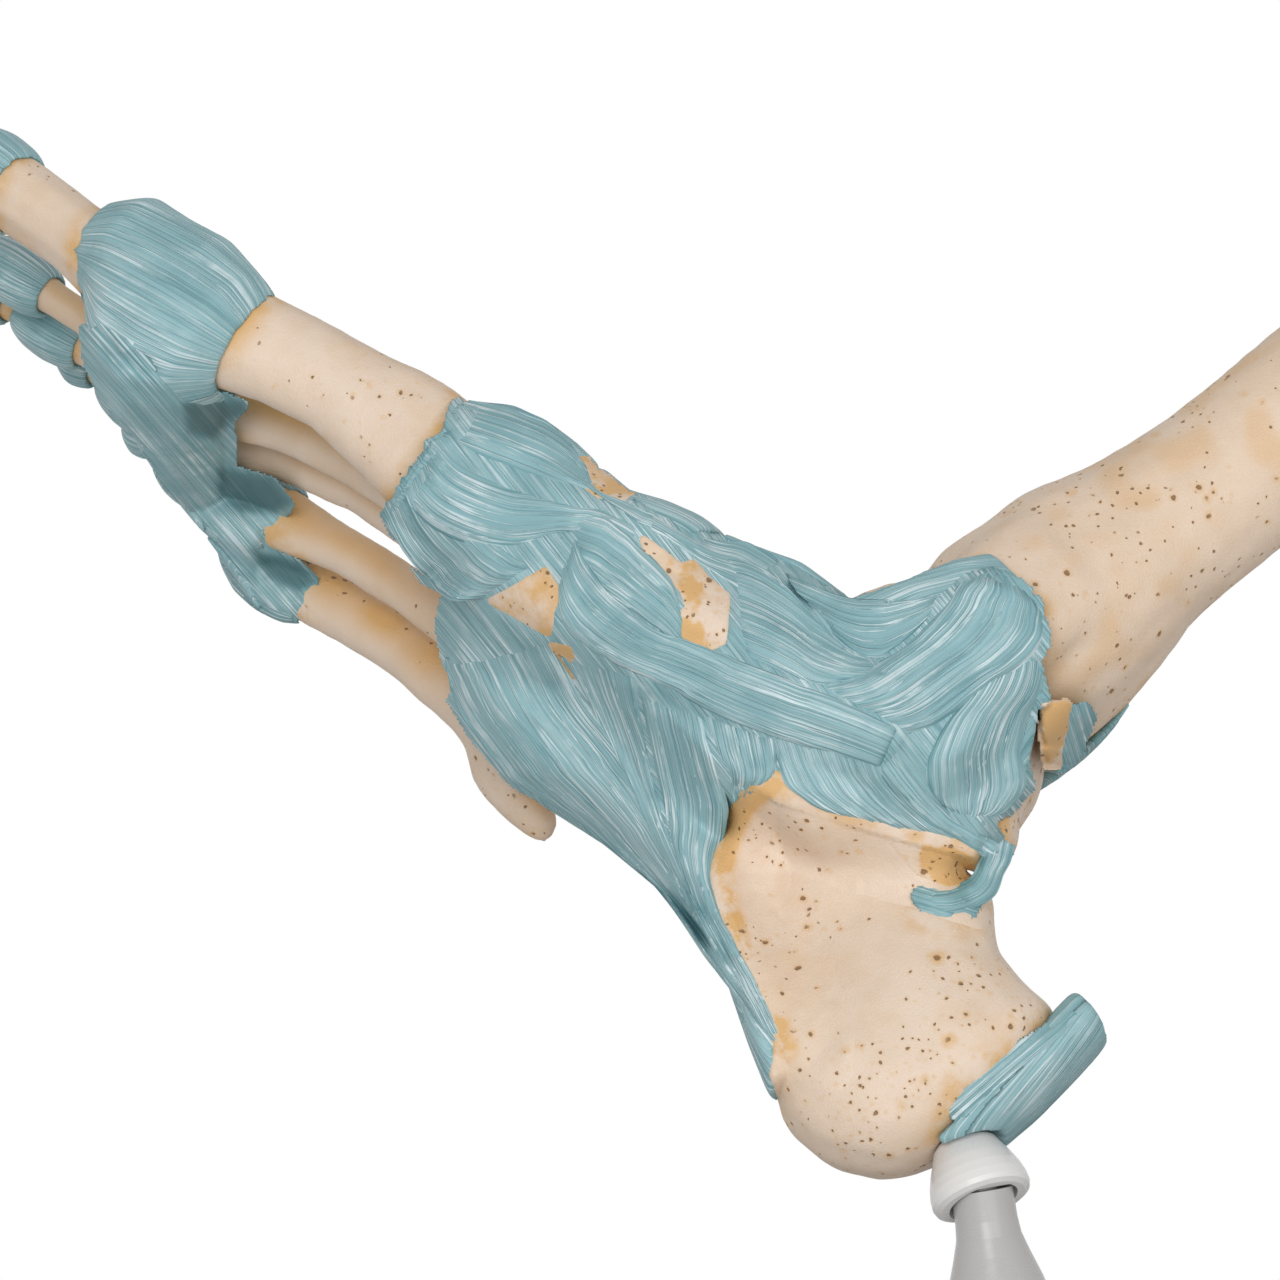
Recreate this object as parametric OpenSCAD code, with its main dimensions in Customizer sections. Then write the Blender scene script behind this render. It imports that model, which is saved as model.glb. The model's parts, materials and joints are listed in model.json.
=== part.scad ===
// Foot and ankle skeleton with ligaments, held at the heel by a turned stand.
// All lengths in millimetres. The stand axis is Z and its rest face is Z = 0.

/* [Stand] */
// Diameter of the round base
base_diameter = 176; // [120:1:240]
// Thickness of the base at its rim
base_thickness = 13; // [8:0.5:25]
// Thickness of the rubber pad under the base
pad_thickness = 2; // [1:0.5:4]
// Height of the swivel point above the table
swivel_height = 102; // [80:1:160]
// Diameter of the post just under the collar
neck_diameter = 10; // [8:0.5:14]
// Diameter of the belly of the post
belly_diameter = 19; // [15:0.5:30]
// Diameter of the post where it meets the base
post_foot_diameter = 34; // [26:1:60]
// Diameter of the screw that holds the post
screw_diameter = 6; // [4:0.5:8]

/* [Collar] */
// Diameter of the lower rim of the collar
collar_rim_diameter = 16.4; // [14:0.2:22]
// Diameter of the collar where it faces the heel
collar_top_diameter = 10; // [8.5:0.1:13]
// Length of the collar along the peg
collar_length = 11; // [9:0.5:14]
// Diameter of the steel peg in the heel
peg_diameter = 5; // [4:0.1:6]
// Depth of the peg in the heel bone
peg_depth = 34; // [20:1:40]
// Running clearance around the peg and around the spigot
running_clearance = 0.05; // [0.02:0.01:0.1]
// Diameter of the spigot on which the collar turns
spigot_diameter = 5; // [4:0.1:6]
// Gap between faces that move past each other
face_gap = 0.5; // [0.4:0.1:1]

/* [Pose] */
// Rise of the toes above the horizontal, in degrees
toe_rise = 49; // [45:0.5:53]
// Turn of the foot about the post, in degrees
toe_turn = 36; // [0:1:360]
// Roll of the foot about its own length, in degrees
foot_roll = 40; // [36:0.5:44]

/* [Bones] */
// Gap between neighbouring bones at a joint
joint_gap = 0.8; // [0.4:0.1:1.5]
// Radius of the ankle dome on the talus
dome_radius = 20.3; // [19.5:0.1:21.5]
// Radius of the round head of the talus
talus_head_radius = 14; // [13.2:0.1:14.8]
// Height at which the leg bones are cut
shank_height = 184; // [165:1:230]
// Thickness scale of the five metatarsal shafts
shaft_scale = 1; // [0.85:0.01:1.1]
// Length of the first metatarsal along the foot
metatarsal_1_reach = 61; // [55:0.5:70]
// Length of the second metatarsal along the foot
metatarsal_2_reach = 76; // [66:0.5:82]
// Length of the third metatarsal along the foot
metatarsal_3_reach = 70.5; // [62:0.5:76]
// Length of the fourth metatarsal along the foot
metatarsal_4_reach = 74.5; // [66:0.5:80]
// Length of the fifth metatarsal along the foot
metatarsal_5_reach = 66; // [58:0.5:72]
// Length of the first bone of the big toe
hallux_length = 39; // [30:0.5:44]
// Length of the end bone of the big toe
hallux_tip_length = 24; // [18:0.5:28]
// Length of the first bone of the second toe
toe_length = 32; // [26:0.5:35]
// Part by which each smaller toe is shorter than the one before
toe_taper = 0.09; // [0.05:0.01:0.12]

/* [Ligaments] */
// Thickness of the ligament layer over the bones
ligament_thickness = 2.2; // [1.6:0.1:3]
// Height of the cut end of the heel tendon
tendon_height = 54; // [53:0.5:70]

/* [Hidden] */
$fn = 40;
bone = [0.90, 0.84, 0.72];
teal = [0.32, 0.62, 0.68];
white = [0.93, 0.93, 0.92];
steel = [0.70, 0.71, 0.72];
black = [0.12, 0.12, 0.12];

// Foot frame: x runs from heel to toes, y to the inner side, z to the back of the foot.
// Point where the peg axis crosses the post axis, and the peg direction, in the foot frame.
knuckle = [-9.4, 0, 20.4];
peg_pitch = 23;

// First and last points of the metatarsals.
drop = [18.6, 21, 19.4, 14.1, 11.2];
swing = [5.5, -7.5, -8.4, -8.7, -8.3];
reach = [metatarsal_1_reach, metatarsal_2_reach, metatarsal_3_reach, metatarsal_4_reach, metatarsal_5_reach];
tarsal_front = [133, 124, 127, 112, 112];
tarsal_side = [21.5, 4, -8, -19.5, -31];
tarsal_rise = [38.4, 38, 37, 30.5, 24.6];
foot_of = [for (i = [0:4]) [tarsal_front[i] + joint_gap, tarsal_side[i], tarsal_rise[i]]];
head_of = [for (i = [0:4]) foot_of[i] + [reach[i], swing[i], -drop[i]]];

// Toe rows: each bone starts a joint gap after the one before it.
toe_turn_out = [-0.1, -0.06, -0.12, -0.16, -0.2];
toe_dip = [-0.13, -0.18, -0.21, -0.03, 0.1];
function toe_part(i) = i == 0 ? hallux_length : toe_length * (1 - toe_taper * (i - 1));
function toe_way(i, d) = let (v = [1, toe_turn_out[i], d]) v / norm(v);
ball = [10.5, 6.2, 5.6, 5.3, 5.2];
function prox_a(i) = head_of[i] + toe_way(i, -0.12) * joint_gap + [0, 0, -0.5];
function prox_b(i) = prox_a(i) + toe_way(i, toe_dip[i]) * toe_part(i);
function mid_a(i) = prox_b(i) + toe_way(i, toe_dip[i]) * joint_gap;
function mid_b(i) = mid_a(i) + toe_way(i, toe_dip[i] - 0.05) * toe_part(i) * 0.46;
function tip_a(i) = i == 0 ? mid_a(i) : mid_b(i) + toe_way(i, toe_dip[i] - 0.1) * joint_gap;
function tip_b(i) = tip_a(i) + toe_way(i, toe_dip[i] - (i == 0 ? 0.07 : 0.2))
    * (i == 0 ? hallux_tip_length : toe_part(i) * 0.4);

// Ring of points around a centre with half-axes u and v and a squareness n.
function ring(c, u, v, n, k) = [for (i = [0:k - 1])
    let (a = cos(360 * (i + 0.5) / k), b = sin(360 * (i + 0.5) / k))
    c + u * sign(a) * pow(abs(a), 2 / n) + v * sign(b) * pow(abs(b), 2 / n)];

// Closed skin over a row of rings.
module skin(rings) {
    k = len(rings[0]);
    m = len(rings);
    side = [for (j = [0:m - 2]) for (i = [0:k - 1]) each [
        [j * k + i, (j + 1) * k + i, j * k + (i + 1) % k],
        [j * k + (i + 1) % k, (j + 1) * k + i, (j + 1) * k + (i + 1) % k]]];
    low = [for (i = [0:k - 1]) i];
    high = [for (i = [k - 1:-1:0]) (m - 1) * k + i];
    polyhedron([for (r = rings) each r], concat(side, [low], [high]));
}

// Block along axis d from rows of station, two offsets, two half-sizes and squareness.
function axis_vector(d, a) = [for (i = [0:2]) i == d % 3 ? a : 0];
function end_step(j, m, g) = j == 0 ? -g : j == m - 1 ? g : 0;
module block(d, rows, g = 0, k = 14) {
    m = len(rows);
    skin([for (j = [0:m - 1]) let (r = rows[j]) ring(
        axis_vector(d, r[0] + end_step(j, m, g)) + axis_vector(d + 1, r[1]) + axis_vector(d + 2, r[2]),
        axis_vector(d + 1, r[3] + g), axis_vector(d + 2, r[4] + g), r[5], k)]);
}

// Long bone from a to b: rows of part of the length, offsets, half-sizes and squareness.
// Its first ring stands square to the foot, its last square to the bone.
module shaft(a, b, rows, g = 0, k = 12, square = false) {
    w = (b - a) / norm(b - a);
    side_way = let (s = cross([0, 0, 1], w)) s / norm(s);
    up_way = cross(w, side_way);
    m = len(rows);
    skin([for (j = [0:m - 1]) let (
        r = rows[j],
        t = square ? min(1, r[0] * 1.6) : 1,
        u = let (q = side_way * t + [0, 1, 0] * (1 - t)) q / norm(q),
        v = let (q = up_way * t + [0, 0, 1] * (1 - t)) q / norm(q))
        ring(a + (b - a) * r[0] + w * end_step(j, m, g) + u * r[1] + v * r[2],
            u * (r[3] + g), v * (r[4] + g), r[5], k)]);
}

// Foot set on its peg in the pose of the photo.
module in_pose() {
    translate([0, 0, swivel_height])
        rotate([foot_roll, -toe_rise, 180 - toe_turn])
            translate(-knuckle)
                children();
}

// Local frame of the peg, with Z along it.
module on_peg() {
    translate(knuckle)
        rotate([0, 90 - peg_pitch, 0])
            children();
}

// Collar on the peg axis, grown by g: rounded rim below, dome towards the heel.
module collar_form(g = 0) {
    r = collar_rim_diameter / 2;
    t = r - collar_top_diameter / 2;
    h = collar_length - 0.5;
    rotate_extrude($fn = 48)
        polygon([
            [0, -0.2 - g], [r - 1.2 + g, -0.2 - g], [r - 0.3 + g, 0.3 - g * 0.7], [r + g, 1.1],
            [r - t * 0.03 + g, h * 0.24], [r - t * 0.16 + g, h * 0.4], [r - t * 0.4 + g, h * 0.59],
            [r - t * 0.7 + g, h * 0.78], [r - t * 0.9 + g, h * 0.92 + g * 0.5], [r - t - 0.4 + g, h + g],
            [0, h + g]]);
}

// Room for the collar in the heel: the collar grown by the gap and opened downwards.
module collar_room(g) {
    on_peg() union() {
        collar_form(g);
        translate([0, 0, -21.4])
            cylinder(d = collar_rim_diameter + 2 * g, h = 22.5, $fn = 48);
    }
}

// Heel bone without its bore.
module calcaneus_form(g = 0) {
    block(0, [
        [1.4, 0.7, 29.6, 7.6, 10, 2.1],
        [3.2, 0.6, 30, 11.2, 16, 2.3],
        [7, 0.6, 30, 13.6, 20.4, 2.5],
        [13, 0.6, 27.8, 14.2, 22, 2.5],
        [21, 0.6, 27.6, 14, 22.8, 2.4],
        [30, -0.2, 32.6, 12.6, 24.2, 2.3],
        [40, -2.5, 36, 12, 20.4, 2.3],
        [48, -4, 37, 13, 16.8, 2.3],
        [55, -5.5, 36.6, 13.4, 13.4, 2.3],
        [65, -8.6, 35.8, 11.4, 11, 2.3],
        [75, -12.4, 35.4, 11.2, 11, 2.4],
        [82, -14.4, 35.2, 10.8, 10.4, 2.5]], g);
}

// Shelf on the inner side of the heel bone.
module shelf_form(g = 0) {
    block(1, [
        [-3, 41, 56, 6, 12, 2.2],
        [7, 41.5, 57, 5.4, 11, 2.2],
        [14, 42, 58, 4.8, 9.5, 2.2],
        [19, 42.2, 58.5, 3.6, 7, 2.1],
        [21.5, 42.2, 58.8, 1.8, 3.6, 2]], g, 10);
}

// Talus without its joint surfaces.
module talus_form(g = 0) {
    block(0, [
        [33, 0.5, 61.6, 4.5, 3.4, 2],
        [37.6, 1, 62.8, 10, 6.6, 2.2],
        [44.4, 1.5, 65, 14.5, 12.5, 2.3],
        [51, 2, 66.5, 15.5, 17, 2.4],
        [60, 2.5, 67, 16, 18, 2.4],
        [68, 4, 65.5, 15, 16, 2.3],
        [75, 7.5, 60.4, 12.5, 12.2, 2.2],
        [83, 10.5, 56.2, 12, 12, 2.1],
        [91, 12.5, 54.2, 9.6, 9.6, 2]], g);
}

// Ankle dome and round head of the talus.
dome_at = [59.5, 2, 66];
talus_head_at = [84.5, 11, 54.6];
module dome_form(g = 0) {
    translate(dome_at)
        rotate([90, 0, 0])
            cylinder(r = dome_radius + g, h = 31 + 2 * g, center = true);
}
module head_form(g = 0) {
    translate(talus_head_at)
        sphere(r = talus_head_radius + g);
}

// Lower end of the shin bone with its inner ankle knob.
module tibia_form(g = 0) {
    block(2, [
        [79, 59, 2.5, 17, 19, 2.7],
        [88, 59.6, 2.8, 18.4, 20.2, 2.7],
        [96, 59, 3, 18, 20.2, 2.5],
        [104, 59.5, 4, 17.8, 18.2, 2.3],
        [115, 58.9, 4.2, 15, 15.6, 2.2],
        [132, 57.4, 4.4, 14.1, 14, 2.1],
        [157, 57.2, 4.6, 14.4, 13.2, 2.1],
        [shank_height, 57, 5, 14.4, 13, 2.1]], g, 16);
}
module malleolus_form(g = 0) {
    block(2, [
        [70, 56.5, 24.4, 4, 2, 2],
        [73, 57, 24.4, 8.4, 4, 2.1],
        [80, 57.6, 23.4, 11, 5.4, 2.2],
        [89, 58.4, 20.6, 12.4, 7, 2.2],
        [99, 59.4, 16, 13, 8.4, 2.2],
        [108, 60, 12, 10, 7, 2.1]], g, 12);
}

// Lower end of the calf bone with the outer ankle knob.
module fibula_form(g = 0) {
    block(2, [
        [63, 56, -25, 3.4, 2.6, 2],
        [66.5, 56.4, -25.4, 7, 4.6, 2.1],
        [74, 57, -25.6, 8.6, 6, 2.2],
        [85, 57.2, -25, 8.6, 6.4, 2.2],
        [98, 57.4, -23.6, 7.2, 6, 2.2],
        [113, 57.8, -22, 6, 5.6, 2.1],
        [135, 58.6, -20.8, 5.4, 5.4, 2.1],
        [shank_height - 4, 59.2, -20, 5.4, 5.2, 2.1]], g, 12);
}

// Boat-shaped bone in front of the talus.
module navicular_form(g = 0) {
    block(0, [
        [94, 15.6, 49.4, 15.4, 11, 2.3],
        [96, 15.4, 49.2, 16.9, 12, 2.3],
        [100, 15.2, 48.8, 17.4, 12.4, 2.3],
        [104.5, 14.6, 48.4, 16.6, 12, 2.3],
        [108, 14, 48, 15, 11, 2.3]], g);
}
module tuberosity_form(g = 0) {
    block(1, [
        [23, 46, 97.4, 7.4, 7.4, 2.1],
        [27.4, 45.6, 96, 6.6, 6.6, 2.1],
        [31.5, 45.2, 94.8, 4.8, 4.8, 2.1],
        [33.6, 45, 94.2, 2.4, 2.4, 2]], g, 10);
}

// Cuboid and the three wedge bones.
module cuboid_form(g = 0) {
    block(0, [
        [82 + joint_gap, -15.4, 34.8, 10.2, 10.2, 2.5],
        [87, -17, 34.6, 11.6, 11, 2.5],
        [97, -21.4, 31.4, 11.6, 11, 2.5],
        [106, -24.8, 29.4, 10.8, 10.4, 2.5],
        [112, -26.2, 27.6, 10.8, 9.8, 2.6]], g);
}
module cuneiform_form(i, g = 0) {
    y = [22, 4.6, -7.6][i];
    z = [40.2, 41, 38.6][i];
    fall = [0.8, 2.8, 1.6][i];
    wide = [9.6, 5.1, 5.6][i];
    high = [12.8, 9.4, 10.2][i];
    back = 108 + joint_gap;
    block(0, [
        [back, y + 0.4, z + fall, wide * 0.9, high * 0.8, 2.5],
        [back + 3, y + 0.2, z + fall * 0.7, wide, high * 0.94, 2.5],
        [(back + tarsal_front[i]) / 2, y, z, wide * 0.96, high * 0.98, 2.4],
        [tarsal_front[i] - 3, y - 0.2, z - fall * 0.75, wide, high, 2.5],
        [tarsal_front[i], y - 0.3, z - fall, wide * 0.94, high * 0.94, 2.6]], g);
}

// Metatarsals: broad foot, slim shaft, round head.
module metatarsal_form(i, g = 0) {
    wide = [9.4, 5, 5.4, 5.4, 6][i];
    high = [13.2, 9.2, 9.2, 8.4, 8.2][i];
    slim = [6.6, 3.9, 3.7, 3.6, 4.7][i] * shaft_scale;
    deep = [8.7, 4.6, 4.4, 4.2, 5.2][i] * shaft_scale;
    head = [11, 5, 4.6, 4.4, 4.6][i];
    tall = [10.4, 7.2, 6.8, 6.4, 6.2][i];
    bow = [2.5, 2.4, 2.4, 2, 1.3][i];
    shaft(foot_of[i], head_of[i], [
        [0, 0, 0, wide * 0.92, high * 0.92, 2.6],
        [0.05, 0, 0, wide, high, 2.5],
        [0.15, 0, 0, wide * 0.82, high * 0.84, 2.3],
        [0.28, 0, bow * 0.6, slim * 1.08, deep * 1.2, 2.1],
        [0.48, 0, bow, slim, deep, 2],
        [0.66, 0, bow * 0.75, slim * 1.06, deep * 1.02, 2],
        [0.8, 0, bow * 0.2, (slim + head) * 0.5, (deep + tall) * 0.5, 2.1],
        [0.88, 0, 0, head, tall, 2.2],
        [0.945, 0, -0.3, head * 0.93, tall * 0.92, 2.2],
        [0.985, 0, -0.4, head * 0.7, tall * 0.68, 2.1],
        [1, 0, -0.4, head * 0.4, tall * 0.38, 2]], g, 12, true);
}

// Outer knob at the foot of the fifth metatarsal.
module styloid_form(g = 0) {
    shaft([124, -35, 19.4], [103, -39, 16.6], [
        [0, 0, 0, 3.4, 3.4, 2],
        [0.3, 0, 0, 5, 5.6, 2.1],
        [0.65, 0, 0, 4.4, 4.8, 2.1],
        [0.9, 0, 0, 3, 2.8, 2],
        [1, 0, 0, 1.4, 1.4, 2]], g, 10);
}

// Toe bones.
module phalanx_form(a, b, wide, high, slim) {
    shaft(a, b, [
        [0, 0, 0, wide * 0.9, high * 0.9, 2.4],
        [0.08, 0, 0, wide, high, 2.3],
        [0.22, 0, 0, wide * 0.84, high * 0.86, 2.2],
        [0.5, 0, 0.3, wide * slim, high * slim * 0.96, 2.1],
        [0.72, 0, 0.2, wide * slim * 1.06, high * slim, 2.1],
        [0.88, 0, 0, wide * 0.8, high * 0.74, 2.3],
        [0.97, 0, -0.2, wide * 0.74, high * 0.66, 2.3],
        [1, 0, -0.2, wide * 0.6, high * 0.5, 2.2]], 0, 10);
}
module tip_form(a, b, wide, high) {
    shaft(a, b, [
        [0, 0, 0, wide * 0.9, high * 0.9, 2.4],
        [0.12, 0, 0, wide, high, 2.3],
        [0.4, 0, 0, wide * 0.62, high * 0.66, 2.1],
        [0.66, 0, -0.2, wide * 0.62, high * 0.5, 2.1],
        [0.84, 0, -0.3, wide * 0.78, high * 0.44, 2.2],
        [0.96, 0, -0.3, wide * 0.6, high * 0.3, 2.1],
        [1, 0, -0.3, wide * 0.3, high * 0.16, 2]], 0, 10);
}

// Bones as finished pieces.
module tibia() {
    color(bone) in_pose() difference() {
        union() {
            tibia_form();
            malleolus_form();
        }
        dome_form(joint_gap);
        fibula_form(joint_gap);
    }
}
module fibula() {
    color(bone) in_pose() fibula_form();
}
module talus() {
    color(bone) in_pose() difference() {
        union() {
            talus_form();
            dome_form();
            head_form();
        }
        calcaneus_form(joint_gap);
        shelf_form(joint_gap);
        fibula_form(joint_gap);
        malleolus_form(joint_gap);
    }
}
module calcaneus() {
    color(bone) in_pose() difference() {
        union() {
            calcaneus_form();
            shelf_form();
        }
        collar_room(face_gap);
        on_peg() cylinder(d = peg_diameter + 2 * running_clearance, h = collar_length + peg_depth + 2);
    }
}
module navicular() {
    color(bone) in_pose() difference() {
        union() {
            navicular_form();
            tuberosity_form();
        }
        head_form(joint_gap);
    }
}
module cuboid() {
    color(bone) in_pose() cuboid_form();
}
module medial_cuneiform() {
    color(bone) in_pose() cuneiform_form(0);
}
module intermediate_cuneiform() {
    color(bone) in_pose() cuneiform_form(1);
}
module lateral_cuneiform() {
    color(bone) in_pose() cuneiform_form(2);
}
module metatarsal_1() {
    color(bone) in_pose() metatarsal_form(0);
}
module metatarsal_2() {
    color(bone) in_pose() metatarsal_form(1);
}
module metatarsal_3() {
    color(bone) in_pose() metatarsal_form(2);
}
module metatarsal_4() {
    color(bone) in_pose() metatarsal_form(3);
}
module metatarsal_5() {
    color(bone) in_pose() difference() {
        union() {
            metatarsal_form(4);
            styloid_form();
        }
        cuboid_form(joint_gap);
    }
}
module proximal(i) {
    phalanx_form(prox_a(i), prox_b(i), ball[i] * 0.95, ball[i] * 0.84, i == 0 ? 0.74 : 0.56);
}
module middle(i) {
    phalanx_form(mid_a(i), mid_b(i), ball[i] * 0.72, ball[i] * 0.62, 0.74);
}
module end_bone(i) {
    tip_form(tip_a(i), tip_b(i), ball[i] * 0.66, ball[i] * 0.54);
}
module proximal_phalanx_1() {
    color(bone) in_pose() proximal(0);
}
module proximal_phalanx_2() {
    color(bone) in_pose() proximal(1);
}
module proximal_phalanx_3() {
    color(bone) in_pose() proximal(2);
}
module proximal_phalanx_4() {
    color(bone) in_pose() proximal(3);
}
module proximal_phalanx_5() {
    color(bone) in_pose() proximal(4);
}
module middle_phalanx_2() {
    color(bone) in_pose() middle(1);
}
module middle_phalanx_3() {
    color(bone) in_pose() middle(2);
}
module middle_phalanx_4() {
    color(bone) in_pose() middle(3);
}
module middle_phalanx_5() {
    color(bone) in_pose() middle(4);
}
module distal_phalanx_1() {
    color(bone) in_pose() tip_form(tip_a(0), tip_b(0), ball[0] * 0.9, ball[0] * 0.66);
}
module distal_phalanx_2() {
    color(bone) in_pose() end_bone(1);
}
module distal_phalanx_3() {
    color(bone) in_pose() end_bone(2);
}
module distal_phalanx_4() {
    color(bone) in_pose() end_bone(3);
}
module distal_phalanx_5() {
    color(bone) in_pose() end_bone(4);
}

// Two seed bones under the ball of the foot, each with its joint space to the head above it.
seed_side = [-5.6, 5.2];
module seed_joints() {
    for (s = seed_side)
        translate(head_of[0] + [-7, s, -11])
            cylinder(d = 5, h = 8, $fn = 16);
}
module seed_forms() {
    for (s = seed_side) {
        c = head_of[0] + [-7, s, -11];
        shaft(c - [6, 0, -2], c + [6, 0, -2], [
            [0, 0, 0, 1.6, 1.4, 2],
            [0.2, 0, 0, 3.6, 2.8, 2.1],
            [0.5, 0, 0, 4.4, 3.4, 2.1],
            [0.8, 0, 0, 3.6, 2.8, 2.1],
            [1, 0, 0, 1.6, 1.4, 2]], 0, 10);
    }
}
module sesamoids() {
    color(bone) in_pose() difference() {
        seed_forms();
        metatarsal_form(0);
    }
}

// Strap through rows of centre, half-width and half-thickness vectors.
module strap(rows, k = 12) {
    way = rows[len(rows) - 1][0] - rows[0][0];
    turn = cross(rows[0][1], rows[0][2]) * way < 0 ? -1 : 1;
    skin([for (r = rows) ring(r[0], r[1] * turn, r[2], 2.3, k)]);
}
lay = ligament_thickness;

// Heel tendon stump behind the heel bone, cut clear of the collar.
module achilles_tendon() {
    color(teal) in_pose() difference() {
        strap([
            [[1, 0.5, 20.6], [0, 7.2, 0], [lay * 0.8, 0, 0]],
            [[0, 0.5, 24], [0, 9, 0], [lay * 1.1, 0, 0]],
            [[-0.2, 0.5, 29], [0, 9.6, 0], [lay * 1.5, 0, 0]],
            [[0.4, 0.5, 37], [0, 9, 0], [lay * 1.9, 0, 0]],
            [[1.4, 0.5, 45], [0, 8.2, 0], [lay * 2.1, 0, 0]],
            [[2, 0.5, 50], [0, 8, 0], [lay * 2.1, 0, 0]],
            [[2.6, 0.5, tendon_height], [0, 7.8, 0], [lay * 2, 0, 0]]], 14);
        calcaneus_form();
        collar_room(face_gap + 0.4);
        on_peg() cylinder(d = peg_diameter + 3, h = 20);
    }
}

// Deltoid fan from the inner ankle knob.
module deltoid_form() {
    strap([
        [[58.4, 27.6, 90], [7, 0, 0], [0, lay * 0.8, 0]],
        [[58, 29, 84], [10, 0, 0], [0, lay * 1.1, 0]],
        [[58, 29.6, 76], [12.5, 0, 0], [0, lay * 1.1, 0]],
        [[59.5, 28, 68], [16, 0, -2], [0, lay * 1.1, 0]],
        [[63, 25.6, 58], [22, 0, -6], [0, lay * 1.1, 0]],
        [[67, 24.6, 49], [24, 0, -8.6], [0, lay, 0]],
        [[68, 24, 44.4], [22, 0, -8], [0, lay * 0.6, 0]]], 14);
}
module deltoid_ligament() {
    color(teal) in_pose() difference() {
        deltoid_form();
        malleolus_form();
        tibia_form();
        head_form();
        talus_form();
        dome_form();
        shelf_form();
        navicular_form();
        tuberosity_form();
        tendon_form();
        spring_form();
    }
}

// Tendon with a square cut end that runs along the inner side.
module tendon_form() {
    strap([
        [[49.5, 28.4, 58.6], [1.8, 0, 3.6], [0, lay, 0]],
        [[60, 30, 53.2], [1.8, 0, 3.6], [0, lay, 0]],
        [[72, 31.4, 47.2], [1.8, 0, 3.6], [0, lay, 0]],
        [[82, 32.8, 42.8], [1.8, 0, 3.8], [0, lay, 0]],
        [[91, 33, 38.8], [2, 0, 4.4], [0, lay, 0]],
        [[100, 31.2, 35.4], [2, 0, 4.4], [0, lay * 0.9, 0]],
        [[108, 29.4, 32.6], [1.8, 0, 4], [0, lay * 0.7, 0]]], 10);
}
module tibialis_posterior_tendon() {
    color(teal) in_pose() difference() {
        tendon_form();
        navicular_form();
        tuberosity_form();
        cuneiform_form(0);
    }
}

// Band from the inner ankle knob back to the talus.
module posterior_tibiotalar_ligament() {
    color(teal) in_pose() difference() {
        strap([
            [[52.4, 26, 84], [4, 1, -2.6], [-0.8, lay, 0]],
            [[50, 24.2, 78], [6.4, 2, -4.2], [-0.8, lay, 0]],
            [[46.6, 20, 70.4], [8, 3.2, -5.2], [-0.9, lay, 0]],
            [[42.6, 15, 64.6], [7.4, 3.2, -4.8], [-1, lay, 0]],
            [[40, 12, 61], [5, 2.4, -3.4], [-1, lay * 0.7, 0]]], 10);
        malleolus_form();
        tibia_form();
        talus_form();
        dome_form();
        deltoid_form();
        spring_form();
        calcaneus_form();
    }
}

// Spring ligament from the heel shelf to the navicular.
module spring_form() {
    strap([
        [[33.6, 12.4, 59], [2.2, 0, 3.2], [0, lay, 0]],
        [[39, 15.6, 54.6], [2, 0, 4], [0, lay, 0]],
        [[47, 19.6, 48.6], [1.6, 0, 4.8], [0, lay, 0]],
        [[58, 22.6, 42.4], [0.8, 0, 6.4], [0, lay, 0]],
        [[70, 23.8, 39.8], [0, 0, 7], [0, lay, 0]],
        [[82, 25.2, 38.6], [0, 0, 6.2], [0, lay, 0]],
        [[93, 25.4, 38.4], [0, 0, 4.4], [0, lay, 0]]], 10);
}
module spring_ligament() {
    color(teal) in_pose() difference() {
        spring_form();
        head_form();
        talus_form();
        dome_form();
        shelf_form();
        calcaneus_form();
        navicular_form();
        tuberosity_form();
        tendon_form();
    }
}

// Plantar band from the heel to the feet of the outer metatarsals.
module plantar_form() {
    strap([
        [[25, 7, 7.6], [0, 5, 0], [0, 0, lay]],
        [[35, 6, 11.6], [0, 7.4, 0.2], [0, 0, lay * 1.1]],
        [[52, 2, 19], [0, 10, 0.6], [0, 0, lay * 1.1]],
        [[70, -4.6, 22.6], [0, 13.4, 1], [0, 0, lay * 1.1]],
        [[88, -6.2, 21.4], [1, 13, 1.6], [0, 0, lay * 1.1]],
        [[103, -6.2, 18.6], [2.4, 13.8, 2], [0, 0, lay * 1.1]],
        [[113, -7.4, 19.6], [3, 13.4, 1.2], [0, 0, lay]],
        [[121, -9, 22], [3, 12.4, 1], [0, 0, lay * 0.9]]], 14);
}
module long_plantar_ligament() {
    color(teal) in_pose() difference() {
        plantar_form();
        calcaneus_form();
        cuboid_form();
        metatarsal_form(3);
        metatarsal_form(4);
        styloid_form();
    }
}

// Short plantar band on the inner wall of the heel bone and cuboid.
module short_plantar_ligament() {
    color(teal) in_pose() difference() {
        strap([
            [[67, 5.2, 33], [0, 3, 6], [0, lay, -1]],
            [[75, 2.6, 32.4], [0, 4, 7.8], [0, lay * 1.1, -1]],
            [[86, -0.6, 30.6], [0, 4.2, 8], [0, lay * 1.1, -1]],
            [[97, -4, 28], [0, 4.2, 7.6], [0, lay * 1.1, -1]],
            [[106, -7.4, 25.4], [0, 4, 6.6], [0, lay, -1]]], 12);
        calcaneus_form();
        shelf_form();
        cuboid_form();
        cuneiform_form(2);
        plantar_form();
        spring_form();
    }
}

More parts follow.
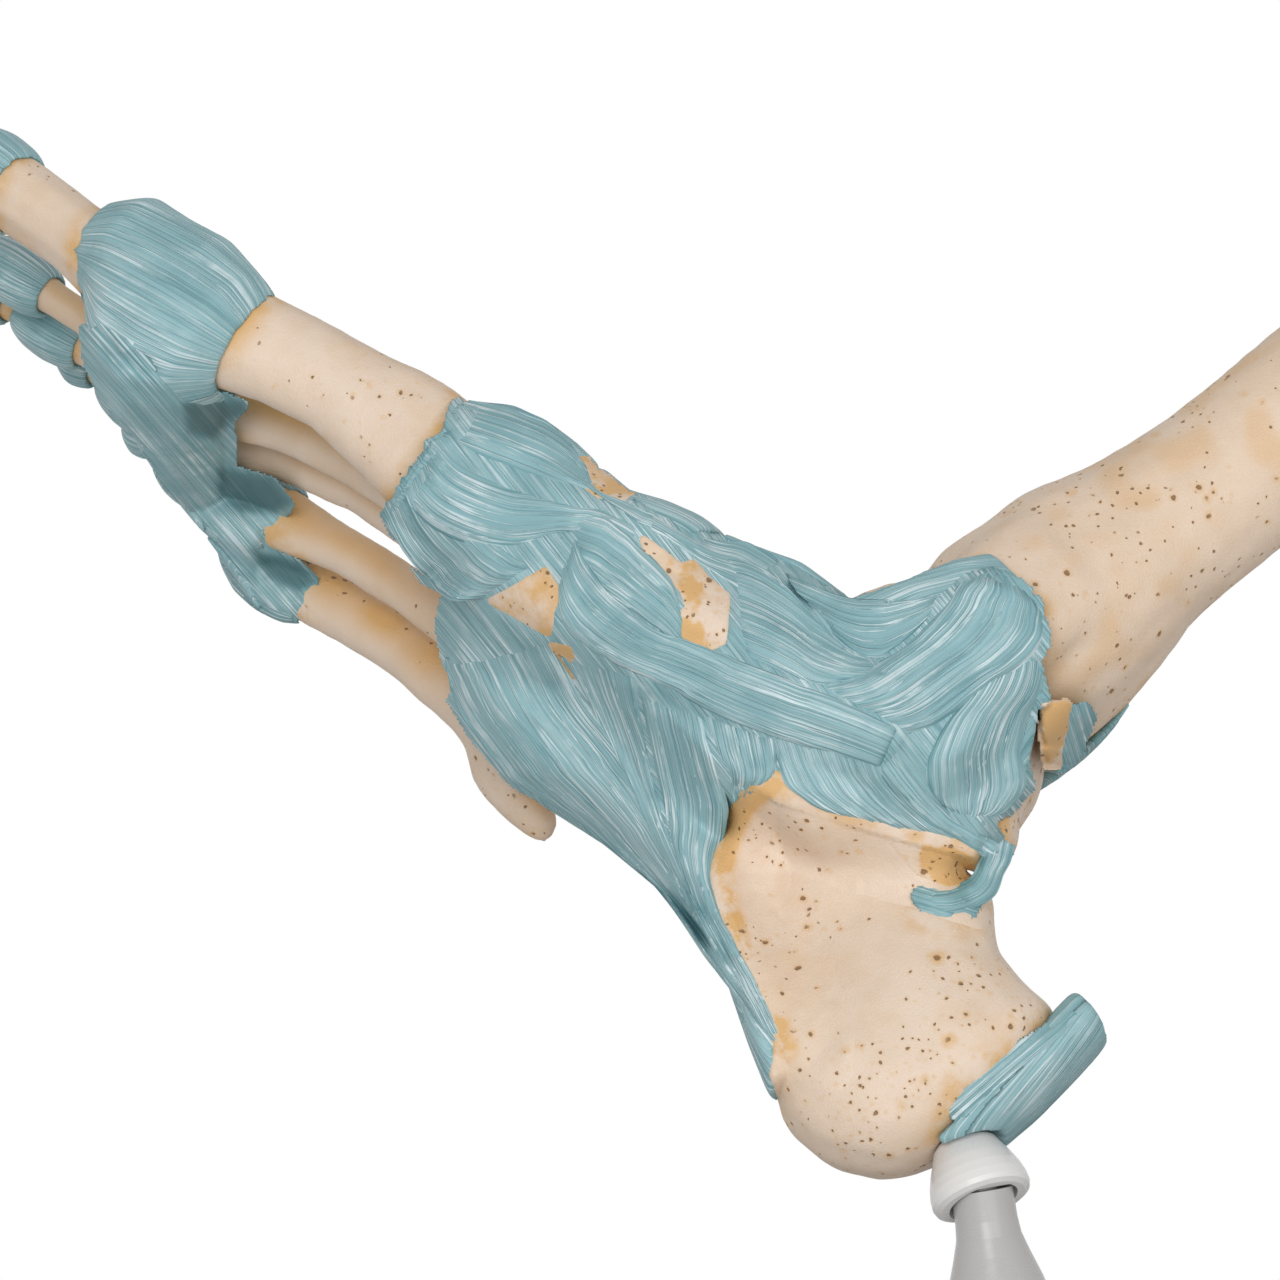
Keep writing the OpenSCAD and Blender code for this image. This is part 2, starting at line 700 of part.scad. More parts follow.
// Dorsal band over the neck and head of the talus.
module dorsal_talonavicular_ligament() {
    color(teal) in_pose() difference() {
        strap([
            [[74, 6.4, 72.6], [0, 9, 1], [0, 0, lay]],
            [[80, 9, 68.6], [0, 10.4, 0], [0, 0, lay]],
            [[88, 11, 66.6], [0, 11.4, 0], [0, 0, lay]],
            [[96, 13, 61.6], [0, 12, 0], [0, 0, lay]],
            [[103, 14, 59.4], [0, 10.4, 0], [0, 0, lay * 0.8]]], 12);
        talus_form();
        dome_form();
        head_form();
        navicular_form();
        navicular_sleeve();
    }
}

// Sleeve over the navicular and first wedge bone, inner half.
module navicular_sleeve() {
    block(0, [
        [99, 16, 48.4, 17.6 + lay * 0.6, 12.6 + lay * 0.6, 2.3],
        [103, 16, 47.3, 17 + lay, 12.2 + lay, 2.4],
        [108.4, 18, 45.2, 15 + lay, 11.8 + lay, 2.4],
        [115, 20, 41.6, 11.6 + lay, 11.6 + lay, 2.4],
        [121.6, 21.2, 40.6, 10 + lay * 0.8, 12.6 + lay * 0.7, 2.4]], 0, 16);
}
module medial_cuneonavicular_ligament() {
    color(teal) in_pose() difference() {
        navicular_sleeve();
        navicular_form();
        tuberosity_form();
        cuneiform_form(0);
        tendon_form();
        translate([90, -20, 10]) cube([40, 33, 60]);
    }
}

// Sleeve over the joint of the first metatarsal, inner side and top.
module first_sleeve() {
    block(0, [
        [122.4, 21.4, 40.4, 9.8 + lay * 0.8, 12.6 + lay * 0.7, 2.4],
        [128, 21.7, 39.7, 9.6 + lay * 0.9, 12.8 + lay * 0.8, 2.5],
        [134, 21.7, 38.8, 9.4 + lay * 0.9, 12.8 + lay * 0.8, 2.5],
        [140, 22.1, 36.8, 8.8 + lay * 0.9, 12 + lay * 0.8, 2.4],
        [145.5, 22.5, 35.2, 7.2 + lay * 0.7, 10.2 + lay * 0.6, 2.3]], 0, 16);
}
module first_tarsometatarsal_ligament() {
    color(teal) in_pose() difference() {
        first_sleeve();
        cuneiform_form(0);
        metatarsal_form(0);
        translate([120, 0, 20]) cube([40, 13, 40]);
    }
}

// Dorsal band over the outer wedge bones and their metatarsals.
module dorsal_tarsometatarsal_ligament() {
    color(teal) in_pose() difference() {
        strap([
            [[103, 3, 57.4], [0, 9, 1.6], [0, 0, lay * 0.8]],
            [[110, 2, 53.6], [0, 9.4, 2.4], [0, 0, lay * 1.1]],
            [[119, 0.4, 49.4], [0, 9.4, 2], [0, 0, lay * 1.1]],
            [[129, -1, 45.8], [0, 9, 1.4], [0, 0, lay * 1.1]],
            [[138, -2.4, 42], [0, 8.4, 1], [0, 0, lay * 0.9]]], 12);
        navicular_form();
        cuneiform_form(1);
        cuneiform_form(2);
        metatarsal_form(1);
        metatarsal_form(2);
    }
}

// Plantar band across the wedge bones to the middle metatarsals.
module plantar_tarsometatarsal_ligament() {
    color(teal) in_pose() difference() {
        strap([
            [[119, 20, 28], [7, 0, 0], [0, 0, lay * 0.8]],
            [[122, 14, 28.6], [8, 0, 0], [0, 0, lay]],
            [[126, 7, 28.6], [8, 0, 0], [0, 0, lay]],
            [[129, -1, 28], [7.6, 0, 0], [0, 0, lay]],
            [[131, -8, 27], [6.6, 0, 0], [0, 0, lay * 0.8]]], 10);
        cuneiform_form(0);
        cuneiform_form(1);
        cuneiform_form(2);
        metatarsal_form(0);
        metatarsal_form(1);
        metatarsal_form(2);
        navicular_sleeve();
        first_sleeve();
        plantar_form();
    }
}

// Sleeve around the ball joint of each toe.
module ball_sleeve(i) {
    a = head_of[i] - (head_of[i] - foot_of[i]) * [0.27, 0.15, 0.2, 0.18, 0.22][i];
    b = prox_a(i) + (prox_b(i) - prox_a(i)) * [0.43, 0.3, 0.3, 0.3, 0.3][i];
    wide = [11, 5, 4.6, 4.4, 4.6][i];
    high = [11.6, 7.2, 6.8, 6.4, 6.2][i];
    skin_side = lay * [1.3, 0.3, 0.24, 0.2, 0.22][i];
    out = ball[i];
    sag = [3.1, 0.4, 0.8, 1, 0.2][i];
    lift = i == 0 ? 2.6 : 0;
    full = i == 0 ? 2.6 : 2.2;
    near = i == 0 ? 0.87 : 0.95;
    shaft(a, b, [
        [0, 0, 0, wide * 0.78 + lay * 0.25, high * (near - 0.09) + lay * 0.3, 2.1],
        [0.14, 0, -sag * 0.7, wide * 0.92 + skin_side, high * near + lay * 0.7 + sag * 0.6, full],
        [0.36, 0, -sag, wide + skin_side, high + lay * 0.9 + sag, full],
        [0.6, 0, lift * 0.4 - sag, wide * 0.97 + skin_side, high * 0.96 + lay * 0.9 + sag * 0.6, full],
        [0.82, 0, lift - 0.4, out * 0.9 + skin_side, out * 0.84 + lay * 0.7 + lift * 0.3, 2.2],
        [1, 0, lift * 0.6, out * 0.72 + lay * 0.2, out * 0.66 + lay * 0.2, 2.2]], 0, 14);
}
module ball_capsule(i) {
    color(teal) in_pose() difference() {
        ball_sleeve(i);
        metatarsal_form(i);
        proximal(i);
    }
}
module mtp_capsule_1() {
    difference() {
        ball_capsule(0);
        in_pose() seed_forms();
        in_pose() seed_joints();
    }
}
module mtp_capsule_2() {
    ball_capsule(1);
}
module mtp_capsule_3() {
    ball_capsule(2);
}
module mtp_capsule_4() {
    ball_capsule(3);
}
module mtp_capsule_5() {
    ball_capsule(4);
}

// Cross band under the heads of the metatarsals.
module transverse_metatarsal_ligament() {
    h = [for (i = [0:4]) head_of[i] + [-3, 0, 0]];
    color(teal) in_pose() difference() {
        strap([
            [h[0] + [-5, -8, -9], [7, 0, 1.6], [0, 0.6, lay * 0.8]],
            [h[1] + [-2, 7, -8], [6.4, 0, 1.6], [0, 0.6, lay]],
            [h[1] + [-2, -6, -8.2], [6, 0, 1.6], [0, 0.6, lay]],
            [h[2] + [-1, -4.4, -8], [6, 0, 1.4], [0, 0.6, lay]],
            [h[3] + [-2, -2, -6.4], [5.6, 0, 1.4], [0, 0.6, lay]],
            [h[4] + [-3, 2, -4.4], [5, 0, 1.4], [0, 0.6, lay * 0.8]]], 10);
        for (i = [0:4]) ball_sleeve(i);
        for (i = [0:4]) metatarsal_form(i);
        seed_forms();
    }
}

// Sleeves around the middle joints of the toes.
module knuckle_sleeve(i) {
    a = prox_b(i) - (prox_b(i) - prox_a(i)) * (i == 0 ? 0.17 : 0.26);
    last = i == 0 ? tip_b(0) : mid_b(i);
    b = mid_a(i) + (last - mid_a(i)) * (i == 0 ? 0.34 : 0.5);
    w = ball[i] * 0.95;
    shaft(a, b, [
        [0, 0, 0, w * 0.66 + lay * 0.3, w * 0.6 + lay * 0.3, 2.1],
        [0.2, 0, 0, w * 0.8 + lay * 0.5, w * 0.68 + lay * 0.5, 2.2],
        [0.5, 0, 0, w * 0.82 + lay * 0.7, w * 0.7 + lay * 0.6, 2.2],
        [0.78, 0, 0, w * 0.78 + lay * 0.5, w * 0.64 + lay * 0.5, 2.2],
        [1, 0, 0, w * 0.62 + lay * 0.3, w * 0.52 + lay * 0.2, 2.1]], 0, 12);
}
module end_sleeve(i) {
    a = mid_b(i) - (mid_b(i) - mid_a(i)) * 0.34;
    b = tip_a(i) + (tip_b(i) - tip_a(i)) * 0.4;
    w = ball[i] * 0.72;
    shaft(a, b, [
        [0, 0, 0, w * 0.8 + lay * 0.2, w * 0.7 + lay * 0.2, 2.1],
        [0.24, 0, 0, w * 0.92 + lay * 0.5, w * 0.8 + lay * 0.5, 2.2],
        [0.5, 0, 0, w * 0.94 + lay * 0.7, w * 0.82 + lay * 0.7, 2.2],
        [0.78, 0, 0, w * 0.9 + lay * 0.5, w * 0.72 + lay * 0.4, 2.2],
        [1, 0, 0, w * 0.72 + lay * 0.2, w * 0.56 + lay * 0.2, 2.1]], 0, 12);
}
module toe_capsules() {
    color(teal) in_pose() for (i = [0:4]) difference() {
        knuckle_sleeve(i);
        proximal(i);
        if (i == 0) tip_form(tip_a(0), tip_b(0), ball[0] * 0.9, ball[0] * 0.66);
        else middle(i);
    }
    color(teal) in_pose() for (i = [1:4]) difference() {
        end_sleeve(i);
        middle(i);
        end_bone(i);
    }
}

// Membrane between the two leg bones.
module interosseous_membrane() {
    color(teal) in_pose() difference() {
        strap([
            [[57, -12, 104], [1, 0, 0], [0, 8, 0]],
            [[57, -12, 120], [0.9, 0, 0], [0, 7.4, 0]],
            [[58, -12, 145], [0.9, 0, 0], [0, 6.6, 0]],
            [[58, -12, shank_height - 10], [0.9, 0, 0], [0, 6, 0]]], 10);
        tibia_form();
        fibula_form();
    }
}

// Bands that tie the outer ankle knob to its neighbours.
module anterior_tibiofibular_ligament() {
    color(teal) in_pose() difference() {
        strap([
            [[73.6, -7, 96], [0, 3, 5.4], [lay, 0, 0]],
            [[71, -14, 92], [0, 3, 5.6], [lay, 0, 0]],
            [[66.4, -20, 87], [0, 3, 5.6], [lay, 0, 0]],
            [[62.6, -25, 83], [0, 3, 5], [lay * 0.9, 0, 0]]], 10);
        tibia_form();
        fibula_form();
    }
}
module posterior_tibiofibular_ligament() {
    color(teal) in_pose() difference() {
        strap([
            [[43, -6, 93.4], [0, 3, 5], [lay, 0, 0]],
            [[44.8, -13, 89], [0, 3, 5.4], [lay, 0, 0]],
            [[47.4, -19, 84.6], [0, 3, 5.4], [lay, 0, 0]],
            [[50.4, -25, 81], [0, 3, 4.6], [lay * 0.9, 0, 0]]], 10);
        tibia_form();
        fibula_form();
        talus_form();
        dome_form();
    }
}
module anterior_talofibular_ligament() {
    color(teal) in_pose() difference() {
        strap([
            [[61, -31, 74], [0, 0, 4.6], [lay * 0.4, -lay * 0.8, 0]],
            [[66.6, -26, 70.6], [0, 0, 5], [lay * 0.7, -lay * 0.7, 0]],
            [[71, -18, 66], [0, 0, 5], [lay * 0.8, -lay * 0.5, 0]],
            [[74.4, -9, 62], [0, 0, 4.6], [lay * 0.8, -lay * 0.5, 0]]], 10);
        fibula_form();
        talus_form();
        dome_form();
    }
}
module calcaneofibular_ligament() {
    color(teal) in_pose() difference() {
        strap([
            [[55, -30, 69], [3.6, 0, 0], [0, lay * 0.8, 0]],
            [[52, -28.6, 61], [3.8, 0, 0], [0, lay, 0]],
            [[46, -22, 50], [3.8, 0, 0], [0, lay, 0]],
            [[40, -16.4, 42], [3.8, 0, 0], [0, lay, 0]],
            [[36, -14, 34], [3.6, 0, 0], [0, lay * 0.8, 0]]], 10);
        fibula_form();
        calcaneus_form();
        talus_form();
    }
}

// Stand.
module base_pad() {
    color(black)
        cylinder(d = base_diameter - 10, h = pad_thickness, $fn = 72);
}
module base_plate() {
    r = base_diameter / 2;
    z = pad_thickness;
    t = base_thickness;
    color(white) difference() {
        rotate_extrude($fn = 96)
            polygon([
                [0, z], [r - 2, z], [r, z + 2], [r, z + t * 0.5], [r - 1, z + t * 0.76],
                [r - 3.4, z + t * 0.93], [r - 7, z + t], [0, z + t]]);
        translate([0, 0, z - 1])
            cylinder(d = screw_diameter * 2 + 0.4, h = 5.2);
        translate([0, 0, z])
            cylinder(d = screw_diameter, h = t + 1);
    }
}

// Turned post from the top face of the base up to the neck.
post_low = pad_thickness + base_thickness;
neck_top = swivel_height + 1.8;
spigot_length = 2.2;
function rise(t) = post_low + (neck_top - post_low) * t;
module post() {
    a = neck_diameter / 2;
    b = belly_diameter / 2;
    c = post_foot_diameter / 2;
    color(white) difference() {
        union() {
            rotate_extrude($fn = 64)
                polygon([
                    [0, post_low], [c, post_low], [c, rise(0.048)],
                    [c - 1, rise(0.071)], [c - 4, rise(0.095)], [b * 1.02, rise(0.152)],
                    [b * 0.78, rise(0.247)], [b * 0.66, rise(0.38)], [b * 0.68, rise(0.475)],
                    [b * 0.82, rise(0.57)], [b * 0.95, rise(0.637)], [b, rise(0.694)],
                    [b * 0.985, rise(0.741)], [b * 0.92, rise(0.789)], [b * 0.8, rise(0.836)],
                    [a * 1.25, rise(0.88)], [a * 1.06, rise(0.915)], [a * 1.01, rise(0.945)],
                    [a, neck_top], [0, neck_top]]);
            translate([0, 0, neck_top - 1])
                cylinder(d = spigot_diameter, h = spigot_length + 1);
        }
        translate([0, 0, post_low - 1])
            cylinder(d = screw_diameter, h = 25);
    }
}
module post_screw() {
    color(steel) union() {
        translate([0, 0, pad_thickness])
            cylinder(d = screw_diameter * 2, h = 4.2);
        translate([0, 0, pad_thickness + 4])
            cylinder(d = screw_diameter, h = base_thickness + 18);
    }
}

// Tilted collar that turns on the post and carries the peg.
module collar() {
    color(white) difference() {
        in_pose() on_peg() collar_form();
        translate([0, 0, neck_top - 12])
            cylinder(d = neck_diameter + 2 * face_gap + 0.4, h = 12 + face_gap);
        translate([0, 0, neck_top - 1])
            cylinder(d = spigot_diameter + 2 * running_clearance, h = spigot_length + 1 + face_gap);
        in_pose() on_peg()
            translate([0, 0, peg_start])
                cylinder(d = peg_diameter, h = 30);
    }
}
peg_start = 6.7;
module heel_peg() {
    color(steel) in_pose() on_peg()
        translate([0, 0, peg_start])
            cylinder(d = peg_diameter, h = collar_length + peg_depth - peg_start);
}

base_pad();
base_plate();
post();
post_screw();
collar();
heel_peg();
tibia();
fibula();
talus();
calcaneus();
navicular();
cuboid();
medial_cuneiform();
intermediate_cuneiform();
lateral_cuneiform();
metatarsal_1();
metatarsal_2();
metatarsal_3();
metatarsal_4();
metatarsal_5();
proximal_phalanx_1();
proximal_phalanx_2();
proximal_phalanx_3();
proximal_phalanx_4();
proximal_phalanx_5();
middle_phalanx_2();
middle_phalanx_3();
middle_phalanx_4();
middle_phalanx_5();
distal_phalanx_1();
distal_phalanx_2();
distal_phalanx_3();
distal_phalanx_4();
distal_phalanx_5();
sesamoids();
achilles_tendon();
tibialis_posterior_tendon();
deltoid_ligament();
posterior_tibiotalar_ligament();
spring_ligament();
long_plantar_ligament();
dorsal_talonavicular_ligament();
medial_cuneonavicular_ligament();
first_tarsometatarsal_ligament();
dorsal_tarsometatarsal_ligament();
plantar_tarsometatarsal_ligament();
mtp_capsule_1();
mtp_capsule_2();
mtp_capsule_3();
mtp_capsule_4();
mtp_capsule_5();
transverse_metatarsal_ligament();
short_plantar_ligament();
toe_capsules();
interosseous_membrane();
anterior_tibiofibular_ligament();
posterior_tibiofibular_ligament();
anterior_talofibular_ligament();
calcaneofibular_ligament();
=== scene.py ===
"""Looks of a skeletal foot with its ligaments on a swivel stand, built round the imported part.

Every length is in metres and every piece lies in the part's own frame. The bones are smoothed,
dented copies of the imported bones. The ligaments are made twice over: each packed ligament becomes
an evened, fibrous piece, and on the inner side, which the photograph shows, fibrous bands are laid
over them one after another, each stretched over what lies beneath it.
"""

import json
import math

import bmesh
import bpy
import numpy as np
from mathutils import Euler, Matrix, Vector
from mathutils.bvhtree import BVHTree

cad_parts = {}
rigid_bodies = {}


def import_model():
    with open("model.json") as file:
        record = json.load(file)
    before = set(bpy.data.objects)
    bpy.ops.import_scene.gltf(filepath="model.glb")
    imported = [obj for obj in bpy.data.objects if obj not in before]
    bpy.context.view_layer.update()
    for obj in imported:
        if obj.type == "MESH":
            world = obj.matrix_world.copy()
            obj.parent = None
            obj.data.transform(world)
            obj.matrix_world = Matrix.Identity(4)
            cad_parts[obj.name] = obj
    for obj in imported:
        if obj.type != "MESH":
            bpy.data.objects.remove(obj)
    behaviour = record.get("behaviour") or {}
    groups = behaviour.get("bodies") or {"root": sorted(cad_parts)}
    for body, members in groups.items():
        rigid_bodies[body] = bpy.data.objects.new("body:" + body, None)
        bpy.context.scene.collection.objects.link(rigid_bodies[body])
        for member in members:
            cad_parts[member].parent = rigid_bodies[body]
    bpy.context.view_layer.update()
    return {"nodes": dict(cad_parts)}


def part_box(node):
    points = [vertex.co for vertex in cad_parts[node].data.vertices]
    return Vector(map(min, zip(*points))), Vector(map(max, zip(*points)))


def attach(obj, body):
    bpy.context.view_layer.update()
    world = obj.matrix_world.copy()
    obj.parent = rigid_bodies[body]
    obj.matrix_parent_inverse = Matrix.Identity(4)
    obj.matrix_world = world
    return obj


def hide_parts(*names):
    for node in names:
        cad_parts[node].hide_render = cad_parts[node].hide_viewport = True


bl_info = {
    "name": "Foot Skeleton Study Model",
    "version": (1, 0, 0),
    "blender": (4, 5, 0),
    "location": "View3D > Sidebar > Foot Model",
    "description": "Bones, ligaments and swivel stand of a skeletal foot for the classroom",
    "category": "Object",
}

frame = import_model()

MM = 0.001
BODY = "foot"

# ---------------------------------------------------------------- the photograph's eye

EYE = np.array((-0.048838, -1.396594, 0.193617))
EYE_TURN = (1.574851, 0.151336, -0.005092)
EYE_LENS = 244.98
SENSOR = 36.0
PICTURE = 1280.0
# How far the picture lies from the eye, in pixels, and what a pixel spans at the foot.
REACH = EYE_LENS / SENSOR * PICTURE
FOOT_FAR = 1.4
PIXEL = FOOT_FAR / REACH

# ---------------------------------------------------------------- pieces

FIRST_TO_FIFTH = range(1, 6)
BONES = ["tibia", "fibula", "talus", "calcaneus", "navicular", "cuboid",
         "medial_cuneiform", "intermediate_cuneiform", "lateral_cuneiform"]
BONES += ["metatarsal_%d" % k for k in FIRST_TO_FIFTH]
BONES += ["proximal_phalanx_%d" % k for k in FIRST_TO_FIFTH]
BONES += ["middle_phalanx_%d" % k for k in FIRST_TO_FIFTH if k > 1]
BONES += ["distal_phalanx_%d" % k for k in FIRST_TO_FIFTH]
BONES += ["sesamoids"]

# Each packed ligament, with the two bones between which its fibres run. A sleeve's fibres lie round
# that line, and a strap's lie side by side.
LIGAMENTS = {
    "achilles_tendon": ("calcaneus", "tibia", "sleeve"),
    "tibialis_posterior_tendon": ("navicular", "calcaneus", "strap"),
    "deltoid_ligament": ("tibia", "navicular", "strap"),
    "posterior_tibiotalar_ligament": ("tibia", "calcaneus", "strap"),
    "spring_ligament": ("calcaneus", "navicular", "strap"),
    "long_plantar_ligament": ("calcaneus", "metatarsal_3", "strap"),
    "dorsal_talonavicular_ligament": ("talus", "navicular", "sleeve"),
    "medial_cuneonavicular_ligament": ("navicular", "medial_cuneiform", "sleeve"),
    "first_tarsometatarsal_ligament": ("medial_cuneiform", "metatarsal_1", "sleeve"),
    "dorsal_tarsometatarsal_ligament": ("lateral_cuneiform", "metatarsal_3", "strap"),
    "plantar_tarsometatarsal_ligament": ("cuboid", "metatarsal_3", "strap"),
    **{"mtp_capsule_%d" % k: ("metatarsal_%d" % k, "proximal_phalanx_%d" % k, "sleeve")
       for k in FIRST_TO_FIFTH},
    "transverse_metatarsal_ligament": ("metatarsal_1", "metatarsal_5", "strap"),
    "toe_capsules": ("proximal_phalanx_3", "distal_phalanx_3", "sleeve"),
    "short_plantar_ligament": ("calcaneus", "cuboid", "strap"),
    "interosseous_membrane": ("fibula", "tibia", "strap"),
    "anterior_tibiofibular_ligament": ("fibula", "tibia", "strap"),
    "posterior_tibiofibular_ligament": ("fibula", "tibia", "strap"),
    "anterior_talofibular_ligament": ("fibula", "talus", "strap"),
    "calcaneofibular_ligament": ("fibula", "calcaneus", "strap"),
}

# How thickly some bones are pitted; the others have few pits.
PITTED = {"tibia": 0.50, "calcaneus": 0.36, "talus": 0.5, "navicular": 0.5, "cuboid": 0.4,
          "metatarsal_5": 0.26, "fibula": 0.3}

# Tiny, small and large pores: how many lie on a metre, their size in that spacing, and how many of
# their gatherings lie on a metre.
PORES = ((760.0, 0.22, 62.0), (400.0, 0.18, 70.0), (130.0, 0.10, 48.0))

# The bands of the inner side, lowest layer first. Each row has the picture points of the band's two
# edges (x, y, x, y), and the rows follow the fibres. lift is the band's thickness and cord the
# height of its coarse cords, both in millimetres; blunt ends stand square, as a cut tendon does.
BANDS = {
    "band_plantar_fan": dict(lift=0.5, cord=0.3, rows=[
        (445, 660, 545, 635), (452, 695, 580, 690), (475, 735, 610, 730),
        (515, 782, 638, 770), (567, 815, 657, 815), (612, 850, 680, 865),
        (660, 893, 705, 920), (705, 957, 735, 970), (748, 1015, 765, 1015),
        (775, 1052, 786, 1048)]),
    "band_plantar_edge": dict(lift=0.45, cord=0.25, rows=[
        (640, 690, 703, 710), (650, 740, 717, 765), (663, 803, 729, 815),
        (672, 850, 714, 868), (690, 900, 722, 910), (718, 955, 745, 955),
        (745, 1000, 768, 1000), (770, 1043, 788, 1045)]),
    "band_plantar_bundle": dict(lift=0.45, cord=0.3, rows=[
        (560, 655, 640, 670), (583, 690, 643, 715), (610, 750, 652, 760),
        (632, 795, 663, 810), (652, 840, 676, 850), (680, 890, 694, 896)]),
    "band_fold_front": dict(lift=0.5, cord=0.25, rows=[
        (700, 705, 778, 730), (712, 745, 780, 757), (726, 775, 776, 776),
        (736, 800, 752, 792)]),
    "band_dorsal_capsule": dict(lift=0.4, cord=0.15, rows=[
        (783, 571, 827, 632), (840, 596, 857, 655), (880, 600, 880, 660),
        (920, 596, 907, 642), (950, 585, 933, 615)]),
    "band_dorsal_edge": dict(lift=0.35, cord=0.15, rows=[
        (633, 497, 647, 533), (670, 520, 667, 543), (707, 539, 700, 566),
        (747, 542, 733, 590), (780, 561, 773, 615)]),
    "band_talonavicular": dict(lift=0.45, cord=0.2, rows=[
        (728, 560, 738, 652), (748, 562, 760, 665), (773, 575, 787, 678),
        (813, 613, 820, 688), (847, 647, 853, 682), (880, 660, 888, 672)]),
    "band_tarsometatarsal_sole": dict(lift=0.4, cord=0.2, rows=[
        (430, 440, 381, 512), (447, 487, 400, 547), (490, 533, 428, 580),
        (520, 558, 450, 600), (540, 566, 490, 598)]),
    "band_tarsometatarsal_back": dict(lift=0.4, cord=0.2, rows=[
        (468, 400, 443, 437), (520, 408, 490, 463), (560, 431, 547, 483),
        (583, 461, 580, 490), (596, 488, 606, 502), (633, 500, 633, 523),
        (667, 519, 657, 534)]),
    "band_tarsometatarsal_side": dict(lift=0.45, cord=0.25, rows=[
        (436, 436, 402, 500), (463, 463, 440, 533), (513, 488, 507, 550),
        (567, 501, 560, 535), (607, 509, 600, 540), (646, 530, 640, 566)]),
    "band_cuneonavicular": dict(lift=0.5, cord=0.2, rows=[
        (573, 510, 556, 560), (613, 520, 597, 590), (640, 545, 633, 616),
        (668, 575, 667, 640), (682, 606, 690, 662)]),
    "band_hanging_fibres": dict(lift=0.5, cord=0.25, rows=[
        (767, 728, 887, 752), (775, 758, 907, 785), (782, 784, 933, 808),
        (806, 803, 955, 828), (830, 815, 982, 849)]),
    "band_deltoid_rear": dict(lift=0.6, cord=0.2, rows=[
        (1000, 655, 1040, 645), (970, 693, 1043, 687), (943, 723, 1030, 714),
        (928, 753, 1022, 748), (923, 780, 1026, 783), (937, 802, 1008, 810),
        (958, 818, 983, 821)]),
    "band_deltoid_lobe": dict(lift=0.9, cord=0.2, rows=[
        (988, 572, 1022, 584), (962, 583, 1045, 618), (930, 620, 1036, 654),
        (897, 650, 996, 682), (853, 677, 942, 722), (813, 686, 903, 736)]),
    "band_tendon_sheath": dict(lift=0.6, cord=0.2, rows=[
        (893, 735, 868, 770), (917, 773, 893, 795), (947, 810, 920, 822),
        (973, 830, 947, 836), (997, 843, 976, 853), (1013, 853, 1002, 864)]),
    "band_heel_strap": dict(lift=0.4, cord=0.2, rows=[
        (984, 836, 1015, 846), (980, 860, 1006, 872), (966, 880, 990, 900),
        (944, 888, 956, 914), (918, 896, 924, 910)]),
    "band_tibialis_posterior": dict(lift=0.55, cord=0.12, blunt=True, rows=[
        (900, 728, 881, 769), (847, 702, 827, 753), (800, 682, 773, 737),
        (750, 663, 707, 710), (713, 648, 672, 690), (663, 630, 625, 668),
        (618, 600, 588, 648), (588, 560, 562, 622), (572, 530, 556, 585)]),
}

